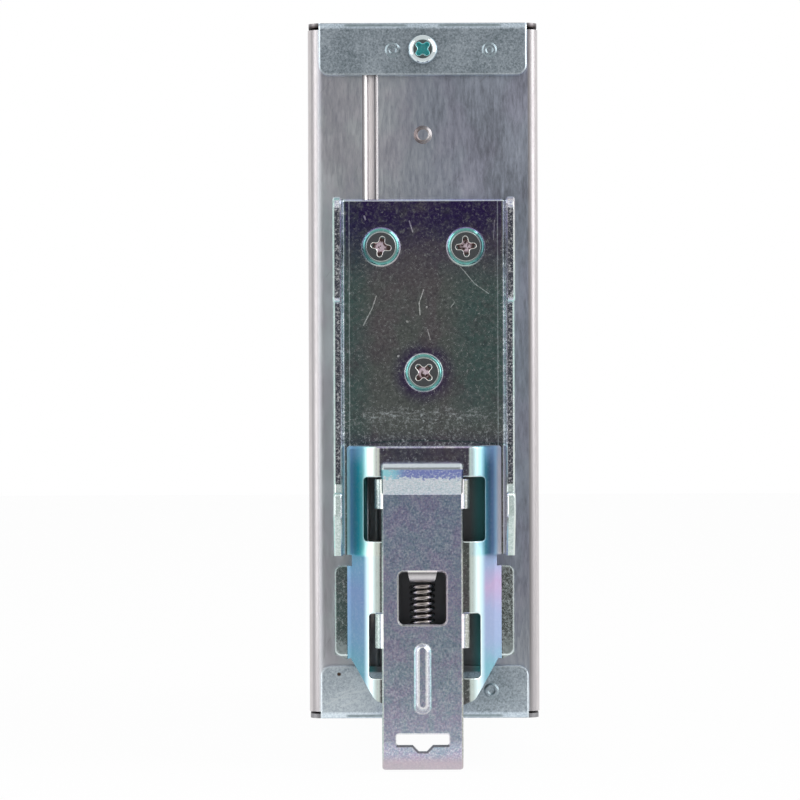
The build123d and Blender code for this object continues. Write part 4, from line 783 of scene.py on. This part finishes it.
def choke_wire():
    """Copper winding laid in even turns, painted dark between the turns and light on their crests:
    painted shade and highlight.
    """
    f = Finish("choke_wire", metallic=0.7, roughness=0.3)
    wave = f.rise_linear(f.math("SINE", f.times(f.x, 7.0)), -1.0, 1.0)
    f.bump(wave, 0.0002, 0.6)
    return f.paint(f.mix(wave, (0.16, 0.05, 0.02), (0.62, 0.25, 0.09)))


def board_laminate():
    """Glass-fibre board under green solder mask, with faint tracks."""
    f = Finish("board_laminate", roughness=0.35)
    inputs = {
        "Vector": f.scaled(0.26, 0.26, 0.26),
        "Scale": 1.0,
        "Mortar Size": 0.06,
        "Color1": (0.030, 0.140, 0.060),
        "Color2": (0.040, 0.170, 0.075),
        "Mortar": (0.015, 0.085, 0.035),
    }
    tracks = f.node("TexBrick", inputs)
    weave = f.noise(1.8, detail=2.0)
    f.bump(weave, 0.00002, 0.3)
    return f.paint(f.mix(f.rise(weave, 0.4, 0.7, 0.0, 0.25), tracks, (0.06, 0.22, 0.10)))


OWN_FINISHES = (
    shell_aluminium, galvanised_sheet, bright_zinc_sheet, matt_zinc_sheet, zinc_screw,
    choke_wire, board_laminate,
)
MATERIALS = {finish.__name__: finish() for finish in OWN_FINISHES}
# slot: colour, roughness
PLAIN_METALS = {
    "spring_steel": ((0.40, 0.36, 0.34), 0.2),
    "inner_steel": ((0.56, 0.57, 0.58), 0.35),
    "brass_standoff": ((0.80, 0.62, 0.30), 0.28),
    "terminal_screw_steel": ((0.66, 0.67, 0.68), 0.25),
    "clamp_steel": ((0.64, 0.63, 0.60), 0.3),
    "tinned_brass": ((0.76, 0.74, 0.68), 0.28),
    "heat_sink_aluminium": ((0.74, 0.74, 0.75), 0.35),
}
# slot: colour, roughness, anything else
MOULDED = {
    "terminal_moulding": ((0.035, 0.036, 0.038), 0.5, {}),
    "insulation_film": ((0.72, 0.66, 0.50), 0.3, {}),
    "trimmer_moulding": ((0.03, 0.09, 0.42), 0.4, {}),
    "trimmer_rotor_plastic": ((0.78, 0.78, 0.74), 0.4, {}),
    "lamp_lens": ((0.10, 0.50, 0.14), 0.15, {"contrast": 0.06, "Coat_Weight": 0.6}),
    "ferrite": ((0.035, 0.035, 0.038), 0.6, {"contrast": 0.3}),
    "winding_tape": ((0.70, 0.48, 0.06), 0.35, {}),
    "capacitor_sleeve": ((0.020, 0.026, 0.050), 0.22, {}),
    "inductor_core": ((0.42, 0.36, 0.06), 0.5, {}),
    "film_capacitor_case": ((0.62, 0.44, 0.05), 0.35, {}),
    "fuse_glass": ((0.70, 0.74, 0.74), 0.08, {"contrast": 0.05}),
    "disc_coating": ((0.02, 0.08, 0.28), 0.3, {}),
    "package_epoxy": ((0.025, 0.025, 0.026), 0.5, {}),
}
for slot, (colour, roughness) in PLAIN_METALS.items():
    MATERIALS[slot] = plain_metal(slot, colour, roughness)
for slot, (colour, roughness, more) in MOULDED.items():
    MATERIALS[slot] = moulded(slot, colour, roughness, **more)

SLOT_OF = {part["node"]: part["material_slot"] for part in frame["record"]["subparts"]}
for node_name, node in frame["nodes"].items():
    node.data.materials.clear()
    node.data.materials.append(MATERIALS[SLOT_OF[node_name]])


# ------------------------------------------------------------------ new pieces
def piece(name, build, slot, body):
    """A mesh object made by build(bmesh), riding on a CAD body."""
    mesh = bpy.data.meshes.new(name)
    shape = bmesh.new()
    build(shape)
    bmesh.ops.recalc_face_normals(shape, faces=shape.faces)
    shape.to_mesh(mesh)
    shape.free()
    made = bpy.data.objects.new(name, mesh)
    scene.collection.objects.link(made)
    mesh.materials.append(MATERIALS[slot])
    for polygon in mesh.polygons:
        polygon.use_smooth = True
    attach(made, body)
    return made


def bridge(shape, a, b):
    """Faces between two closed loops of as many vertices."""
    for k in range(len(a)):
        shape.faces.new((a[k], a[(k + 1) % len(a)], b[(k + 1) % len(b)], b[k]))


def tube(shape, centres, radius, sides):
    """Round wire through a list of points."""
    rings = []
    for i, centre in enumerate(centres):
        ahead = centres[min(i + 1, len(centres) - 1)] - centres[max(i - 1, 0)]
        out = ahead.cross(Vector((0, 0, 1))).normalized()
        up = out.cross(ahead).normalized()
        angles = [tau * k / sides for k in range(sides)]
        points = [centre + (out * cos(a) + up * sin(a)) * radius for a in angles]
        rings.append([shape.verts.new(point) for point in points])
    for a, b in zip(rings, rings[1:]):
        bridge(shape, a, b)
    shape.faces.new(rings[0])
    shape.faces.new(rings[-1])


def coil_spring(shape):
    """Right-hand compression spring between its two seats, with closed ends."""
    low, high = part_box("slider_spring")
    wire = 0.385 * MM  # radius
    thick = 2 * wire
    pitch = 1.085 * MM
    closed = 0.75  # turns lying close together at each end
    steps = 24  # in a turn
    middle = (low + high) / 2
    radius = min(high.x - low.x, high.y - low.y) / 2 - wire
    bottom, top = low.z + wire, high.z - wire
    open_turns = (top - bottom - 2 * closed * thick) / pitch
    centres = []
    for i in range(int((open_turns + 2 * closed) * steps) + 1):
        turn = i / steps
        rise = min(turn, closed) * thick + max(0, min(turn - closed, open_turns)) * pitch
        rise += max(0, turn - closed - open_turns) * thick
        out = Vector((cos(tau * turn), sin(tau * turn), 0)) * radius
        centres.append(Vector((middle.x, middle.y, bottom + rise)) + out)
    tube(shape, centres, wire, sides=10)


def cross_outline(length, width, round_in, turn):
    """Outline of a cross recess with rounded arms and inner corners."""
    points = []
    for arm in range(4):
        base = arm * pi / 2 + turn
        for k in range(7):
            angle = -pi / 2 + pi * k / 6
            points.append((length - width + width * cos(angle), width * sin(angle), base))
        for k in range(5):
            angle = -pi / 2 - pi / 2 * k / 4
            spot = width + round_in
            points.append((spot + round_in * cos(angle), spot + round_in * sin(angle), base))
    return [(u * cos(b) - v * sin(b), u * sin(b) + v * cos(b)) for u, v, b in points]


def ring(shape, at, facing, points, height):
    """A loop of vertices around the screw's axis."""
    return [shape.verts.new((at[0] + u, at[1] + facing * height, at[2] + v)) for u, v in points]


SCREW_SIDES = 48
CREASE = 40  # degrees; edges of the screws sharper than this stay crisp


def headed_screw(shape, at, facing, profile, cross, depth, turn):
    """Turned screw along Y with a cross recess in its head.

    profile runs from the shank's end to the edge of the head's flat top, as radius and
    height in millimetres; facing is +1 when the head looks to +Y. cross is the reach of
    the recess's arms, half their width and the rounding between them.
    """
    at = tuple(value * MM for value in at)
    angles = [tau * k / SCREW_SIDES for k in range(SCREW_SIDES)]
    circle = [(cos(angle), sin(angle)) for angle in angles]
    rings = [
        ring(shape, at, facing, [(u * r * MM, v * r * MM) for u, v in circle], h * MM)
        for r, h in profile
    ]
    shape.faces.new(rings[0])
    length, width, round_in = cross
    top = profile[-1][1]
    walls = []
    for inset, height in ((0.0, top), (0.07, top - 0.02), (0.13, top - 0.10), (0.20, top - depth)):
        points = cross_outline(length - inset, width - inset, round_in + inset, turn)
        points = [(u * MM, v * MM) for u, v in points]
        walls.append(ring(shape, at, facing, points, height * MM))
    for loops in (rings, walls):
        for a, b in zip(loops, loops[1:]):
            bridge(shape, a, b)
    shape.faces.new(walls[-1])
    edges = []
    for loop in (rings[-1], walls[0]):
        for k in range(len(loop)):
            edges.append(shape.edges.get((loop[k], loop[(k + 1) % len(loop)])))
    bmesh.ops.triangle_fill(shape, edges=edges, use_beauty=True)


def sharp_edges(made, degrees):
    """Keeps edges sharper than this angle crisp in the shading."""
    shape = bmesh.new()
    shape.from_mesh(made.data)
    for edge in shape.edges:
        edge.smooth = len(edge.link_faces) == 2 and edge.calc_face_angle(0) < radians(degrees)
    shape.to_mesh(made.data)
    shape.free()


def turned_screws(node_name, build, slot, body):
    """Turned screws standing for a CAD node of plain ones."""
    made = piece(node_name + "_turned", build, slot, body)
    sharp_edges(made, CREASE)
    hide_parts(node_name)


spring = piece("release_spring_coil", coil_spring, "spring_steel", "case")
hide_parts("slider_spring")
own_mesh(spring)

# radius and height along M4 pan screws on the bracket, M3 pan screws on the caps
M4_PROFILE = (
    (1.8, -6.5), (2.0, -6.2), (2.0, 0.0), (3.40, 0.0), (3.50, 0.12),
    (3.55, 0.35), (3.55, 0.95), (3.48, 1.30), (3.30, 1.62), (3.05, 1.84),
    (2.85, 1.93), (2.74, 1.96), (2.69, 2.05), (2.64, 2.10), (2.55, 2.12),
)
M3_PROFILE = (
    (1.3, -5.5), (1.5, -5.2), (1.5, 0.0), (2.55, 0.0), (2.66, 0.14), (2.70, 0.40),
    (2.68, 0.80), (2.55, 1.20), (2.30, 1.52), (1.95, 1.74), (1.75, 1.82), (1.68, 1.84),
)
M4_CROSS, M4_DEPTH = (1.95, 0.56, 0.50), 0.8
M3_CROSS, M3_DEPTH = (1.62, 0.56, 0.42), 0.7
TERMINAL_CROSS, TERMINAL_DEPTH = (1.75, 0.42, 0.25), 1.0
M4_SHANK, M3_SHANK = 6.5, 5.5
M3_HEAD_RADIUS = 2.7
TERMINAL_HEAD = 2.4  # height of a terminal screw's head in the CAD, in front of its clamp


def bracket_screw_heads(shape):
    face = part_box("bracket_screws")[0].y / MM + M4_SHANK
    x, z = UPPER_SCREWS
    for spot_x, spot_z, turn in ((x, z, 10), (-x, z, -5), (0.0, LOWER_SCREW_Z, 45)):
        at = (spot_x, face, spot_z)
        headed_screw(shape, at, 1, M4_PROFILE, M4_CROSS, M4_DEPTH, radians(turn))


def cap_screw_heads(shape):
    low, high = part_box("cap_screws")
    face = low.y / MM + M3_SHANK
    for z in (high.z / MM - M3_HEAD_RADIUS, low.z / MM + M3_HEAD_RADIUS):
        headed_screw(shape, (0.0, face, z), 1, M3_PROFILE, M3_CROSS, M3_DEPTH, radians(45))


turned_screws("bracket_screws", bracket_screw_heads, "zinc_screw", "case")
turned_screws("cap_screws", cap_screw_heads, "zinc_screw", "case")


def terminal_screw(node_name):
    """Replaces one terminal screw, whose head looks to the front."""
    low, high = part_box(node_name)
    at = ((low.x + high.x) / 2 / MM, low.y / MM + TERMINAL_HEAD, (low.z + high.z) / 2 / MM)
    shank = (high.y - low.y) / MM - 2.45  # a hair shorter than the CAD's
    profile = (
        (1.2, -shank), (1.5, -shank + 0.3), (1.5, 0.0), (2.45, 0.0), (2.60, 0.15),
        (2.60, 1.9), (2.52, 2.15), (2.30, 2.30), (2.10, 2.34),
    )
    turn = radians(20 + 37 * len(node_name))

    def build(shape):
        headed_screw(shape, at, -1, profile, TERMINAL_CROSS, TERMINAL_DEPTH, turn)

    turned_screws(node_name, build, "terminal_screw_steel", node_name)


for node_name in sorted(frame["nodes"]):
    if node_name.startswith(("output_screw_", "input_screw_")):
        terminal_screw(node_name)


# ------------------------------------------------------------------ stage, light, camera
def fresh_nodes(owner):
    owner.use_nodes = True
    owner.node_tree.nodes.clear()
    return Nodes(owner.node_tree)


def stage_material(name, shade):
    """Pale matt surface that the camera, metal and glass see as nearly white."""
    made = bpy.data.materials.new(name)
    nodes = fresh_nodes(made)
    rays = ("Is Camera Ray", "Is Glossy Ray", "Is Transmission Ray")
    seen = nodes.either(*[nodes.node("LightPath", output=ray) for ray in rays])
    matt = nodes.node("BsdfDiffuse", {"Color": (0.86, 0.86, 0.86)})
    glow = nodes.node("Emission", {"Strength": 1.0})
    blend = nodes.node("MixShader", {0: nodes.times(seen, shade), 1: matt, 2: glow})
    nodes.node("OutputMaterial", {0: blend})
    return made


STAGE_HALF = 2.0  # half the width of the floor and the backdrop
BACKDROP_Y = -1.6
FLOOR_END_Y = 0.05  # the floor stops here, so that it does not glare back into the metal
floor_z = cad_low.z - 0.3 * MM


def stage_plane(name, start, end, material):
    """Plane across the stage from one (y, z) to another."""
    left, right = -STAGE_HALF, STAGE_HALF
    mesh = bpy.data.meshes.new(name)
    corners = [(left, *start), (right, *start), (right, *end), (left, *end)]
    mesh.from_pydata(corners, [], [(0, 1, 2, 3)])
    made = bpy.data.objects.new(name, mesh)
    scene.collection.objects.link(made)
    mesh.materials.append(material)


foot_of_backdrop = (BACKDROP_Y, floor_z)
top_of_backdrop = (BACKDROP_Y, floor_z + 2 * STAGE_HALF)
stage_plane(
    "floor", foot_of_backdrop, (FLOOR_END_Y, floor_z), stage_material("floor_white", 0.96)
)
stage_plane("backdrop", foot_of_backdrop, top_of_backdrop, stage_material("backdrop_white", 1.0))

# soft white room, dim towards the rail side, where the camera of the main view stands
ROOM_LIGHT = 0.76
DIM_LIGHT = 0.10
scene.world = bpy.data.worlds.new("room")
nodes = fresh_nodes(scene.world)
direction = nodes.node("TexCoord", output="Generated")
to_rail_side = nodes.vector("DOT_PRODUCT", direction, (0.0, 1.0, 0.0), output=1)
light = nodes.rise(to_rail_side, 0.84, 0.96, ROOM_LIGHT, DIM_LIGHT)
camera_ray = nodes.node("LightPath", output="Is Camera Ray")
strength = nodes.node("Mix", {0: camera_ray, 2: light, 3: 1.0})
background = nodes.node("Background", {"Color": (1.0, 1.0, 1.0), "Strength": strength})
nodes.node("OutputWorld", {0: background})


def softbox(name, place, aim, width, height, power):
    """Rectangular area light turned towards aim."""
    light = bpy.data.lights.new(name, "AREA")
    light.shape = "RECTANGLE"
    light.size, light.size_y = width, height
    light.energy = power
    made = bpy.data.objects.new(name, light)
    made.location = place
    made.rotation_euler = (Vector(aim) - Vector(place)).to_track_quat("-Z", "Y").to_euler()
    scene.collection.objects.link(made)


LIGHT_AIM = (0, -0.03, 0)
softbox("key_light", (-0.60, 0.22, 0.35), LIGHT_AIM, 0.4, 0.8, 3.0)
softbox("fill_light", (0.60, 0.22, 0.20), LIGHT_AIM, 0.3, 0.8, 1.6)

# camera square to the back, a little to one side and just below the rail's middle
CAMERA_X, CAMERA_Z = 4.28 * MM, -1.26 * MM
CAMERA_DISTANCE = 0.550  # from the back of the case
SENSOR = 36.0
VIEW_WIDTH = 0.144  # at the back of the case
CAMERA_ROLL = 0.19  # degrees
back_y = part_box("housing_shell")[1].y
camera_data = bpy.data.cameras.new("camera")
camera_data.sensor_width = SENSOR
camera_data.lens = SENSOR * CAMERA_DISTANCE / VIEW_WIDTH
camera_data.clip_start = 0.01
camera_data.clip_end = 20.0
camera = bpy.data.objects.new("camera", camera_data)
camera.location = (CAMERA_X, back_y + CAMERA_DISTANCE, CAMERA_Z)
camera.rotation_euler = (radians(90), radians(CAMERA_ROLL), radians(180))
scene.collection.objects.link(camera)
scene.camera = camera

scene.view_settings.view_transform = "Standard"
